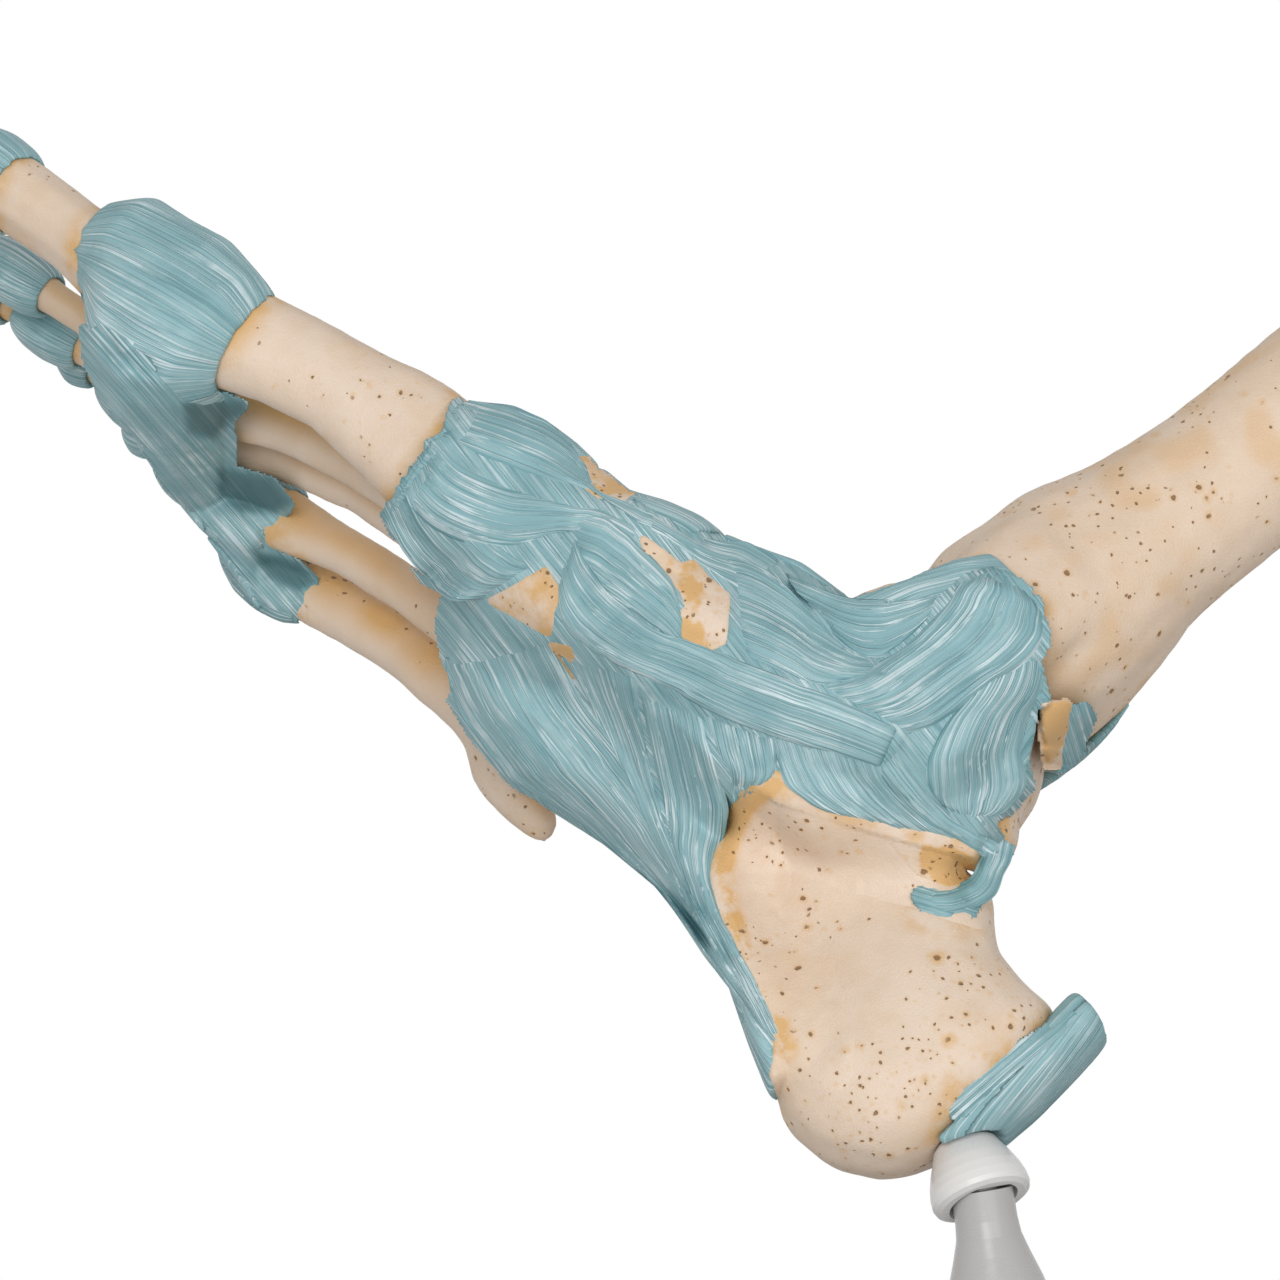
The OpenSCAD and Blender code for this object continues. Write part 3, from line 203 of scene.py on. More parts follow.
# Thin sheets under the bands: the outline of each in the picture, the way its fibres run there, and
# the places where it leaves bone bare, each with its share of stain, at the ankle partly painted
# shade. span is the number of cells over which it looks for hollows to stretch across, and dark
# marks the places that lie in shade, where the sheet is painted darker as painted shade.
SHEETS = {
    "fascia_inner": dict(way=(0.62, 0.78), outline=[
        (455, 405), (447, 433), (430, 447), (413, 477), (385, 515), (400, 543), (425, 580),
        (447, 590), (440, 627), (447, 663), (460, 683), (452, 700), (473, 735), (513, 782),
        (567, 812), (607, 842), (640, 872), (690, 930), (730, 990), (768, 1050), (784, 1048),
        (764, 992), (742, 950), (722, 907), (716, 872), (726, 832), (740, 802), (775, 778),
        (813, 800), (853, 815), (893, 825), (933, 835), (973, 848), (1005, 862), (1013, 853),
        (985, 822), (1010, 810), (1030, 787), (1024, 760), (1022, 745), (1033, 710), (1045, 700),
        (1040, 680), (1037, 663), (1045, 645), (1047, 630), (1037, 603), (1017, 582), (993, 573),
        (960, 580), (933, 597), (900, 598), (860, 600), (820, 590), (783, 562), (745, 540),
        (707, 538), (667, 515), (637, 497), (620, 497), (590, 488), (583, 468), (575, 440),
        (553, 424), (520, 406), (470, 400)],
        bare=[
            (1.0, [(492, 601), (520, 586), (545, 571), (556, 590), (548, 633)]),
            (2.4, [(551, 646), (568, 650), (576, 676), (560, 668)]),
            (2.8, [(644, 540), (662, 553), (680, 567), (693, 563), (706, 579), (726, 596),
                   (723, 641), (696, 654), (674, 636), (671, 620), (689, 609), (684, 591),
                   (669, 573), (650, 561)]),
            (0.3, [(583, 460), (604, 470), (630, 490), (622, 499), (600, 494),
                   (586, 484)]),
            (0.0, [(775, 774), (740, 798), (724, 830), (713, 872), (719, 908), (739, 952),
                   (761, 994), (779, 1050), (774, 1075), (790, 1112), (820, 1142), (872, 1140),
                   (890, 1090), (886, 1040), (882, 1000), (882, 962), (892, 945), (920, 945),
                   (950, 948), (978, 936), (1002, 900), (1006, 858), (973, 844), (933, 831),
                   (893, 821), (853, 811), (813, 796)]),
            (2.6, [(893, 842), (920, 842), (955, 850), (978, 862), (972, 880), (948, 884),
                   (918, 872)])]),
    "fascia_forefoot": dict(way=(0.66, 0.75), span=5, outline=[
        (84, 330), (88, 362), (104, 394), (126, 420), (150, 446), (148, 466), (151, 487),
        (168, 506), (184, 528), (202, 546), (229, 563), (238, 577), (252, 599), (272, 616),
        (292, 618), (306, 606), (314, 582), (300, 566), (262, 548), (266, 533), (278, 524),
        (289, 505), (272, 482), (230, 470), (232, 445), (228, 420), (243, 405), (225, 398),
        (205, 402), (185, 397), (160, 372), (132, 338), (100, 318)], bare=[], dark=[
            [(182, 404), (205, 398), (245, 400), (250, 412), (230, 424), (214, 442),
             (188, 432)],
            [(218, 468), (272, 476), (292, 502), (276, 514), (240, 512),
             (218, 492)],
            [(250, 550), (300, 562), (318, 582), (300, 592), (266, 578)]]),
    "fascia_heel": dict(way=(0.95, 0.3), outline=[
        (916, 894), (935, 887), (958, 889), (977, 897), (973, 912), (950, 920),
        (928, 915)], bare=[]),
    "fascia_ankle": dict(way=(0.3, 0.95), outline=[
        (1066, 712), (1084, 707), (1092, 718), (1082, 740), (1076, 760), (1062, 768), (1059, 750),
        (1064, 730)], bare=[
            # This bare place shows the slit between the talus and the tibia: its full amber is
            # partly stain and partly painted shade of the slit.
            (5.0, [(1046, 707), (1066, 705), (1064, 730), (1058, 752), (1057, 764), (1048, 764),
                   (1045, 738)])]),
    "fascia_tendon": dict(way=(0.75, -0.66), outline=[
        (948, 1110), (964, 1084), (990, 1064), (1020, 1046), (1050, 1027), (1068, 1006),
        (1082, 1012), (1060, 1044), (1024, 1068), (988, 1096), (966, 1122)], bare=[]),
}

# Packed ligaments that end short of their packed edge, at a line in the picture.
CUTS = {"first_tarsometatarsal_ligament": ((462, 398), (380, 524))}

# ---------------------------------------------------------------- values a user may change

COLOUR = dict(subtype="COLOR", size=3, min=0, max=1)


class FootFinish(bpy.types.PropertyGroup):
    """Colours and surface sizes of the bones and ligaments."""

    bone_ivory: bpy.props.FloatVectorProperty(
        name="Bone", description="Plain bone", **COLOUR,
        default=(0.745, 0.605, 0.485))
    # Tan of the bone's soft patches, and the colour of its painted shade in the hollows.
    bone_tan: bpy.props.FloatVectorProperty(
        name="Bone Shade", description="Bone in hollows and towards the joints", **COLOUR,
        default=(0.62, 0.45, 0.30))
    # Amber of the stains, and also the colour of the painted shade on the upper sides of the lesser
    # metatarsals and toe bones.
    bone_amber: bpy.props.FloatVectorProperty(
        name="Bone Stain", description="Stain beside ligaments and round pores", **COLOUR,
        default=(0.66, 0.38, 0.125))
    pore_brown: bpy.props.FloatVectorProperty(
        name="Pores", description="Bottom of the pores", **COLOUR,
        default=(0.22, 0.100, 0.033))
    ligament_teal: bpy.props.FloatVectorProperty(
        name="Ligament", description="Plain ligament", **COLOUR,
        default=(0.275, 0.470, 0.500))
    # Darker teal of the paint's streaks and seams, and the colour of the painted shade in furrows,
    # hollows, along band edges and in the marked places.
    ligament_deep: bpy.props.FloatVectorProperty(
        name="Ligament Furrows", description="Between the fibres", **COLOUR,
        default=(0.110, 0.270, 0.300))
    # Pale fibre lines of the paint, and the colour of the painted highlight on the raised crests.
    ligament_pale: bpy.props.FloatVectorProperty(
        name="Ligament Fibres", description="Brushed highlights along the fibres", **COLOUR,
        default=(0.68, 0.78, 0.80))
    bone_grid: bpy.props.FloatProperty(
        name="Bone Mesh", description="Size of the faces of a large bone", unit="LENGTH",
        min=0.0004, max=0.002, default=0.0008)
    dent_depth: bpy.props.FloatProperty(
        name="Dents", description="Depth of the shallow unevenness of the bones", unit="LENGTH",
        min=0, max=0.001, default=0.00028)
    fibre_height: bpy.props.FloatProperty(
        name="Fibre Height", description="Height of the single fibres of a band", unit="LENGTH",
        min=0, max=0.0006, default=0.00009)
    strand_radius: bpy.props.FloatProperty(
        name="Strand Radius", description="Radius of the loose strands on the bands",
        unit="LENGTH", min=0.00005, max=0.0005, default=0.00011)


class StandFinish(bpy.types.PropertyGroup):
    """Colours of the stand."""

    plastic: bpy.props.FloatVectorProperty(
        name="Plastic", description="Moulded collar", **COLOUR,
        default=(0.72, 0.71, 0.70))
    post: bpy.props.FloatVectorProperty(
        name="Post", description="Moulded base and post, a shade deeper", **COLOUR,
        default=(0.44, 0.43, 0.425))
    steel: bpy.props.FloatVectorProperty(
        name="Screw", description="Screw under the post", **COLOUR,
        default=(0.55, 0.55, 0.56))
    rubber: bpy.props.FloatVectorProperty(
        name="Pad", description="Rubber ring under the base", **COLOUR,
        default=(0.045, 0.045, 0.048))


class StageFinish(bpy.types.PropertyGroup):
    """Floor and light."""

    floor: bpy.props.FloatVectorProperty(
        name="Floor", description="Colour of the floor", **COLOUR,
        default=(0.86, 0.86, 0.86))
    ambient: bpy.props.FloatProperty(
        name="Room Light", description="Even light from all round", min=0, max=2, default=0.45)
    key: bpy.props.FloatProperty(
        name="Main Lamp", description="Lamp from the upper left", unit="POWER",
        min=0, max=200, default=7.5)
    fill: bpy.props.FloatProperty(
        name="Second Lamp", description="Lamp from the lower right", unit="POWER",
        min=0, max=200, default=3.2)


# ---------------------------------------------------------------- numbers


def lattice(seed, *cells):
    """A fixed number from 0 to 1 for each whole-numbered cell."""
    total = np.full(np.shape(cells[0]), seed * 17.31)
    for weight, cell in zip((127.1, 311.7, 74.7), cells):
        total = total + cell * weight
    value = np.sin(total) * 43758.5453
    return value - np.floor(value)


def noise(seed, *axes):
    """Smooth noise from 0 to 1 on one to three axes."""
    whole = [np.floor(a) for a in axes]
    part = [a - w for a, w in zip(axes, whole)]
    part = [p * p * (3 - 2 * p) for p in part]
    total = 0
    for corner in range(2 ** len(axes)):
        weight, cell = 1.0, []
        for k, (w, p) in enumerate(zip(whole, part)):
            bit = corner >> k & 1
            weight = weight * (p if bit else 1 - p)
            cell.append(w + bit)
        total = total + weight * lattice(seed, *cell)
    return total


def fibres(seed, along, across):
    """Height from 0 to 1 of fibres, along and across in metres: long, uneven and close together."""
    v = across + 0.0003 * (noise(seed + 3, along / 0.03, across / 0.008) - 0.5)
    broad = noise(seed, v / 0.0021, along / 0.06)
    fine = 1 - np.abs(2 * noise(seed + 1, v / 0.0011, along / 0.05) - 1)
    thin = noise(seed + 2, v / 0.00055, along / 0.03)
    return np.clip(0.35 * broad + 0.4 * fine + 0.25 * thin, 0, 1)


def smoothstep(low, high, x):
    t = np.clip((x - low) / (high - low), 0, 1)
    return t * t * (3 - 2 * t)


def sight(points):
    """Directions from the photograph's eye through picture points."""
    turn = np.array(Euler(EYE_TURN).to_matrix())
    half = PICTURE / 2
    p = np.asarray(points, float)
    d = np.stack([(p[..., 0] - half) / REACH, (half - p[..., 1]) / REACH,
                  -np.ones(p.shape[:-1])], -1)
    d = d @ turn.T
    return d / np.linalg.norm(d, axis=-1, keepdims=True)


def through(points, count):
    """A smooth line of count points through the given ones."""
    p = np.asarray(points, float)
    p = np.vstack([2 * p[0] - p[1], p, 2 * p[-1] - p[-2]])
    at = np.linspace(0, len(p) - 3 - 1e-6, count)
    i = at.astype(int)
    t = (at - i)[:, None]
    a, b, c, d = p[i], p[i + 1], p[i + 2], p[i + 3]
    return 0.5 * (2 * b + (c - a) * t + (2 * a - 5 * b + 4 * c - d) * t ** 2
                  + (3 * b - a - 3 * c + d) * t ** 3)


# ---------------------------------------------------------------- meshes


def vertices_of(mesh, what="co"):
    values = np.empty(len(mesh.vertices) * 3, np.float32)
    mesh.vertices.foreach_get(what, values)
    return values.reshape(-1, 3).astype(float)


def normals_of(mesh):
    return vertices_of(mesh, "normal")


def edges_of(mesh):
    pairs = np.empty(len(mesh.edges) * 2, np.int32)
    mesh.edges.foreach_get("vertices", pairs)
    return pairs[0::2], pairs[1::2]


def put_vertices(mesh, co):
    mesh.vertices.foreach_set("co", np.ascontiguousarray(co, np.float32).ravel())
    mesh.update()


def put_value(mesh, name, values):
    kind = "FLOAT" if np.ndim(values) == 1 else "FLOAT_VECTOR"
    item = mesh.attributes.get(name) or mesh.attributes.new(name, kind, "POINT")
    item.data.foreach_set("value" if kind == "FLOAT" else "vector",
                          np.ascontiguousarray(values, np.float32).ravel())


def put_on_both(mesh, name, values):
    """The same values for a sheet's upper points and for its lower ones."""
    put_value(mesh, name, np.concatenate([values] * 2))


def eased(mesh, values, rounds):
    """Values of the mesh's points, evened out with their neighbours."""
    a, b = edges_of(mesh)
    n = len(mesh.vertices)
    count = np.maximum(np.bincount(a, minlength=n) + np.bincount(b, minlength=n), 1)
    flat = values.reshape(n, -1).copy()
    for _ in range(rounds):
        for k in range(flat.shape[1]):
            col = flat[:, k]
            mean = (np.bincount(a, weights=col[b], minlength=n)
                    + np.bincount(b, weights=col[a], minlength=n)) / count
            flat[:, k] = col + 0.5 * (mean - col)
    return flat.reshape(values.shape)


def islands(mesh):
    """A number for each point that all points of its separate part share."""
    a, b = edges_of(mesh)
    label = np.arange(len(mesh.vertices))
    while True:
        low = label.copy()
        np.minimum.at(low, a, label[b])
        np.minimum.at(low, b, label[a])
        low = low[low]
        if (low == label).all():
            return label
        label = low


def rounded(mesh, rounds):
    """Smooths the mesh's points and gives back the size that smoothing takes."""
    co = vertices_of(mesh)
    soft = eased(mesh, co, rounds)
    put_vertices(mesh, soft)
    no = normals_of(mesh)
    put_vertices(mesh, soft + no * max(0.0, float(((co - soft) * no).sum(1).mean())))


def show(name, mesh, material):
    """A finished mesh as a smooth piece with its material."""
    piece = bpy.data.objects.new(name, mesh)
    bpy.context.scene.collection.objects.link(piece)
    mesh.materials.clear()
    mesh.materials.append(material)
    mesh.polygons.foreach_set("use_smooth", np.ones(len(mesh.polygons), bool))
    mesh.update()
    return piece


def settled(holder, name):
    """The mesh that an object's modifiers make of its own; the object goes."""
    found = holder.evaluated_get(bpy.context.evaluated_depsgraph_get())
    result = bpy.data.meshes.new_from_object(found)
    result.name = name
    plain = holder.data
    bpy.data.objects.remove(holder)
    bpy.data.meshes.remove(plain)
    if not len(result.polygons):
        raise RuntimeError("no faces are left of " + name)
    return result


def evened(node, size):
    """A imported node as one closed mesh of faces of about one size."""
    form = bmesh.new()
    form.from_mesh(frame["nodes"][node].data)
    bmesh.ops.remove_doubles(form, verts=form.verts, dist=2e-6)
    mesh = bpy.data.meshes.new(node + "_form")
    form.to_mesh(mesh)
    form.free()
    holder = bpy.data.objects.new(node + "_form", mesh)
    bpy.context.scene.collection.objects.link(holder)
    step = holder.modifiers.new("Even", "REMESH")
    step.mode = "VOXEL"
    step.voxel_size = size
    return settled(holder, node + "_look")


def tree_of(meshes):
    """A search tree over several meshes."""
    points, faces, start = [], [], 0
    for mesh in meshes:
        points += vertices_of(mesh).tolist()
        mesh.calc_loop_triangles()
        tri = np.empty(len(mesh.loop_triangles) * 3, np.int32)
        mesh.loop_triangles.foreach_get("vertices", tri)
        faces += (tri.reshape(-1, 3) + start).tolist()
        start += len(mesh.vertices)
    return BVHTree.FromPolygons(points, faces, all_triangles=True)


def middle(node):
    low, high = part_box(node)
    return np.array((low + high) / 2)


# ---------------------------------------------------------------- node groups

FLOAT, VECTOR = "NodeSocketFloat", "NodeSocketVector"


def group(name, inputs, outputs):
    tree = bpy.data.node_groups.new(name, "ShaderNodeTree")
    for label, kind, value in inputs:
        socket = tree.interface.new_socket(label, in_out="INPUT", socket_type=kind)
        if value is not None:
            socket.default_value = value
    for label, kind in outputs:
        tree.interface.new_socket(label, in_out="OUTPUT", socket_type=kind)
    return tree, tree.nodes.new("NodeGroupInput"), tree.nodes.new("NodeGroupOutput")


def wire(tree, kind, values=None, links=None, **settings):
    """A new node, its settings, its plain values and what feeds it."""
    node = tree.nodes.new(kind)
    for key, value in settings.items():
        setattr(node, key, value)
    for key, value in (values or {}).items():
        node.inputs[key].default_value = value
    for key, source in (links or {}).items():
        tree.links.new(source, node.inputs[key])
    return node


def maths(tree, operation, a, b=None, clamp=False):
    node = tree.nodes.new("ShaderNodeMath")
    node.operation = operation
    node.use_clamp = clamp
    for k, x in enumerate((a, b)):
        if x is None:
            continue
        if isinstance(x, (int, float)):
            node.inputs[k].default_value = x
        else:
            tree.links.new(x, node.inputs[k])
    return node.outputs[0]


def times(tree, a, b):
    return maths(tree, "MULTIPLY", a, b)


def plus(tree, a, b):
    return maths(tree, "ADD", a, b)


def most(tree, *sources):
    total = sources[0]
    for source in sources[1:]:
        total = maths(tree, "MAXIMUM", total, source)
    return total


def object_place(tree):
    return wire(tree, "ShaderNodeTexCoord").outputs["Object"]


def mottled(tree, where, **sizes):
    """The soft patches and the speckle of a finish."""
    return placed(tree, shared("soft_mottle", mottle_group), {"Vector": where}, sizes)


def ramp(tree, source, low, high, to_low=0.0, to_high=1.0):
    return wire(tree, "ShaderNodeMapRange", {1: low, 2: high, 3: to_low, 4: to_high},
                {0: source}, interpolation_type="SMOOTHSTEP").outputs[0]


def blend(tree, share, first, second):
    """Two colours mixed by a share."""
    node = tree.nodes.new("ShaderNodeMix")
    node.data_type = "RGBA"
    for key, x in ((0, share), (6, first), (7, second)):
        if hasattr(x, "is_output"):
            tree.links.new(x, node.inputs[key])
        else:
            node.inputs[key].default_value = x if key == 0 else (*x, 1.0)
    return node.outputs[2]


def mottle_group():
    """Soft patches and fine speckle, for every finish."""
    tree, into, out = group("soft_mottle", [
        ("Vector", VECTOR, None), ("Patches", FLOAT, 90.0),
        ("Speckle", FLOAT, 2600.0)],
        [("Patch", FLOAT), ("Speck", FLOAT)])
    soft = wire(tree, "ShaderNodeTexNoise", {"Detail": 4.0, "Roughness": 0.6},
                {"Vector": into.outputs["Vector"], "Scale": into.outputs["Patches"]})
    fine = wire(tree, "ShaderNodeTexNoise", {"Detail": 2.0, "Roughness": 0.6},
                {"Vector": into.outputs["Vector"], "Scale": into.outputs["Speckle"]})
    tree.links.new(ramp(tree, soft.outputs[0], 0.32, 0.68), out.inputs["Patch"])
    tree.links.new(ramp(tree, fine.outputs[0], 0.3, 0.7), out.inputs["Speck"])
    return tree


def pore_group():
    """Scattered pores with a stained ring, gathered in patches."""
    tree, into, out = group("bone_pores", [
        ("Vector", VECTOR, None), ("Spacing", FLOAT, 300.0),
        ("Share", FLOAT, 0.5), ("Size", FLOAT, 0.16),
        ("Gathering", FLOAT, 60.0)],
        [("Pore", FLOAT), ("Ring", FLOAT)])
    warp = wire(tree, "ShaderNodeTexNoise", {"Scale": 700.0, "Detail": 2.0},
                {"Vector": into.outputs["Vector"]})
    bend = wire(tree, "ShaderNodeVectorMath", {3: 0.0011}, {0: warp.outputs["Color"]},
                operation="SCALE")
    place = wire(tree, "ShaderNodeVectorMath", None,
                 {0: into.outputs["Vector"], 1: bend.outputs[0]}, operation="ADD")
    cell = wire(tree, "ShaderNodeTexVoronoi", {"Randomness": 1.0},
                {"Vector": place.outputs[0], "Scale": into.outputs["Spacing"]})
    split = wire(tree, "ShaderNodeSeparateColor", None, {0: cell.outputs["Color"]})
    where = wire(tree, "ShaderNodeTexNoise", {"Detail": 3.0, "Roughness": 0.55},
                 {"Vector": into.outputs["Vector"], "Scale": into.outputs["Gathering"]})
    gate = plus(tree, split.outputs[0], times(tree, where.outputs[0], 3.0))
    level = maths(tree, "SUBTRACT", 2.7, into.outputs["Share"])
    kept = ramp(tree, maths(tree, "SUBTRACT", gate, level), 0.0, 0.08)
    size = times(tree, into.outputs["Size"],
                 plus(tree, 0.45, times(tree, split.outputs[1], 0.9)))
    near = maths(tree, "DIVIDE", cell.outputs["Distance"], size)
    pore = times(tree, ramp(tree, near, 0.45, 1.0, 1.0, 0.0), kept)
    ring = times(tree, ramp(tree, near, 0.7, 2.6, 1.0, 0.0), kept)
    tree.links.new(pore, out.inputs["Pore"])
    tree.links.new(ring, out.inputs["Ring"])
    return tree


def streak_group():
    """Streaks along the fibres of a ligament, from its grain."""
    tree, into, out = group("fibre_streaks", [
        ("Grain", VECTOR, None), ("Along", FLOAT, 50.0),
        ("Across", FLOAT, 2500.0)],
        [("Streak", FLOAT), ("Hair", FLOAT), ("Tone", FLOAT),
         ("Line", FLOAT), ("Seam", FLOAT)])

    def drawn(factor_along, factor_across, detail):
        scale = wire(tree, "ShaderNodeCombineXYZ", {2: 1.0}, {
            0: times(tree, into.outputs["Along"], factor_along),
            1: times(tree, into.outputs["Across"], factor_across)})
        at = wire(tree, "ShaderNodeVectorMath", None,
                  {0: into.outputs["Grain"], 1: scale.outputs[0]}, operation="MULTIPLY")
        return wire(tree, "ShaderNodeTexNoise",
                    {"Scale": 1.0, "Detail": detail, "Roughness": 0.55},
                    {"Vector": at.outputs[0]}).outputs[0]

    def lines(factor_along, factor_across, width):
        level = maths(tree, "ABSOLUTE", maths(tree, "SUBTRACT",
                                              drawn(factor_along, factor_across, 1.0), 0.5))
        return ramp(tree, level, width * 0.25, width, 1.0, 0.0)

    tree.links.new(ramp(tree, drawn(1.0, 1.0, 2.0), 0.42, 0.68), out.inputs["Streak"])
    tree.links.new(ramp(tree, drawn(1.4, 2.4, 1.0), 0.3, 0.7), out.inputs["Hair"])
    tree.links.new(ramp(tree, drawn(1.2, 0.10, 3.0), 0.3, 0.7), out.inputs["Tone"])
    tree.links.new(lines(0.40, 0.60, 0.055), out.inputs["Line"])
    tree.links.new(lines(0.45, 0.42, 0.04), out.inputs["Seam"])
    return tree


def placed(tree, group_tree, links=None, values=None):
    return wire(tree, "ShaderNodeGroup", values, links, node_tree=group_tree).outputs


def shared(name, maker):
    return bpy.data.node_groups.get(name) or maker()


def fresh(name):
    material = bpy.data.materials.new(name)
    material.use_nodes = True
    tree = material.node_tree
    tree.nodes.clear()
    shader = tree.nodes.new("ShaderNodeBsdfPrincipled")
    out = tree.nodes.new("ShaderNodeOutputMaterial")
    tree.links.new(shader.outputs[0], out.inputs[0])
    return material, tree, shader


def bumped(tree, shader, height, depth, strength=1.0):
    bump = wire(tree, "ShaderNodeBump", {"Strength": strength, "Distance": depth},
                {"Height": height})
    tree.links.new(bump.outputs[0], shader.inputs["Normal"])


def value_of(tree, name):
    return wire(tree, "ShaderNodeAttribute", attribute_name=name).outputs["Fac"]


# ---------------------------------------------------------------- finishes


def bone_material():
    """Moulded, hand-tinted bone: ivory with soft tan patches, amber by the ligaments and round the
    pores, brown pores, tan painted shade in the hollows, and amber-tan painted shade on the upper
    sides of the lesser metatarsals and toe bones.
    """
    look = bpy.context.scene.foot_finish
    material, tree, shader = fresh("bone_ivory")
    where = object_place(tree)
    mottle = mottled(tree, where)
    wide = mottled(tree, where, Patches=34.0, Speckle=5200.0)
    pits = value_of(tree, "pits")
    tiny, small, large = (
        placed(tree, shared("bone_pores", pore_group), {"Vector": where, "Share": pits},
               {"Spacing": spacing, "Size": size, "Gathering": gathering})
        for spacing, size, gathering in PORES)
    near = value_of(tree, "near")
    hollow_shade = value_of(tree, "hollow_shade")
    soft = times(tree, mottle["Patch"], 0.30)
    # Painted shade: the bone turns tan where it is shut in, on top of its soft tan patches.
    shade = maths(tree, "ADD", soft, times(tree, hollow_shade, 0.85), clamp=True)
    tan_and_shade = value_of(tree, "tan_and_shade")
    colour = blend(tree, shade, tuple(look.bone_ivory), tuple(look.bone_tan))
    # The amber share: stain by the ligaments and round the pores, random patches, the tibia's
    # clouded tan, and the painted shade on the upper sides of the lesser metatarsals and toe bones.
    stain_and_shade = maths(tree, "MULTIPLY", near, ramp(tree, mottle["Patch"], 0.05, 0.85), clamp=True)
    stain_and_shade = most(tree, stain_and_shade, maths(tree, "MULTIPLY", tan_and_shade, 0.9, clamp=True),
                 times(tree, large["Ring"], 0.75), times(tree, small["Ring"], 0.55),
                 times(tree, tiny["Ring"], 0.35),
                 ramp(tree, wide["Patch"], 0.55, 1.0, 0.0, 0.26))
    colour = blend(tree, times(tree, stain_and_shade, 0.85), colour, tuple(look.bone_amber))
    pore = most(tree, tiny["Pore"], small["Pore"], large["Pore"])
    colour = blend(tree, times(tree, pore, 0.85), colour, tuple(look.pore_brown))
    tree.links.new(colour, shader.inputs["Base Color"])
    rough = plus(tree, 0.46, times(tree, wide["Patch"], 0.14))
    tree.links.new(rough, shader.inputs["Roughness"])
    shader.inputs["Specular IOR Level"].default_value = 0.35
    height = maths(tree, "SUBTRACT", times(tree, mottle["Speck"], 0.10), pore)
    bumped(tree, shader, height, 0.0005, 0.8)
    return material


SHADOW_TEAL = (0.055, 0.115, 0.120)


def ligament_material():
    """Painted fibres: teal with the paint's own pale lines and darker streaks, darker in the
    furrows, in the hollows and in the marked places as painted shade, and paler along the raised
    crests as painted highlight.
    """
    look = bpy.context.scene.foot_finish
    material, tree, shader = fresh("ligament_teal")
    grain = wire(tree, "ShaderNodeAttribute", attribute_name="grain").outputs["Vector"]
    where = object_place(tree)
    streak = placed(tree, shared("fibre_streaks", streak_group), {"Grain": grain})
    mottle = mottled(tree, where, Patches=70.0)
    ridge = value_of(tree, "ridge")
    edge = value_of(tree, "edge")
    hollow_shade = value_of(tree, "hollow_shade")
    # Painted shade in the furrows between the raised fibres.
    furrow = ramp(tree, ridge, 0.60, 0.30)
    dark = value_of(tree, "dark")
    deep = plus(tree, times(tree, furrow, 0.28),
                times(tree, maths(tree, "SUBTRACT", 1.0, streak["Tone"]), 0.42))
    deep = plus(tree, deep, times(tree, streak["Seam"], 0.40))
    # Painted shade along the rims and ends of bands and sheets, in the crease where they meet what
    # lies beneath.
    deep = plus(tree, deep, times(tree, edge, 0.20))
    # Painted shade in the marked places and in the hollows.
    deep = plus(tree, deep, dark)
    deep = maths(tree, "ADD", deep, times(tree, hollow_shade, 0.75), clamp=True)
    colour = blend(tree, deep, tuple(look.ligament_teal), tuple(look.ligament_deep))
    # Painted highlight: paler along the raised crests, with the paint's own pale lines and hairs;
    # it fades where painted shade lies.
    crest = times(tree, ramp(tree, ridge, 0.50, 0.9), ramp(tree, streak["Streak"], 0.1, 0.9))
    crest = plus(tree, times(tree, crest, 0.40), times(tree, streak["Hair"], 0.12))
    crest = plus(tree, crest, times(tree, streak["Line"], 0.72))
    crest = times(tree, crest, ramp(tree, mottle["Patch"], 0.1, 0.9, 0.35, 1.15))
    plain = maths(tree, "SUBTRACT", 1.0, most(tree, hollow_shade, times(tree, dark, 0.6)))
    crest = maths(tree, "MULTIPLY", crest, plain, clamp=True)
    colour = blend(tree, times(tree, crest, 0.85), colour, tuple(look.ligament_pale))
    colour = blend(tree, times(tree, dark, 0.62), colour, SHADOW_TEAL)
    tree.links.new(colour, shader.inputs["Base Color"])
    rough = maths(tree, "SUBTRACT", 0.56, times(tree, crest, 0.15))
    tree.links.new(rough, shader.inputs["Roughness"])
    shader.inputs["Specular IOR Level"].default_value = 0.4
    height = plus(tree, times(tree, streak["Streak"], 0.4), times(tree, streak["Line"], 0.6))
    height = maths(tree, "SUBTRACT", height, times(tree, streak["Seam"], 0.5))
    bumped(tree, shader, height, 0.00016, 0.8)
    return material


def stand_material(name="stand_plastic"):
    """Pale moulded plastic, glossy, with the soft waviness and handling marks of a moulding."""
    look = bpy.context.scene.stand_finish
    material, tree, shader = fresh(name)
    where = object_place(tree)
    mottle = mottled(tree, where, Patches=45.0, Speckle=3000.0)
    pale = tuple(look.post if name == "post_plastic" else look.plastic)
    warm = (pale[0] * 0.95, pale[1] * 0.935, pale[2] * 0.91)
    tree.links.new(blend(tree, times(tree, mottle["Patch"], 0.5), pale, warm),
                   shader.inputs["Base Color"])
    marks = plus(tree, times(tree, mottle["Patch"], 0.12), times(tree, mottle["Speck"], 0.05))
    tree.links.new(plus(tree, 0.20, marks), shader.inputs["Roughness"])
    bumped(tree, shader, mottle["Patch"], 0.0002, 0.25)
    return material


def post_material():
    return stand_material("post_plastic")


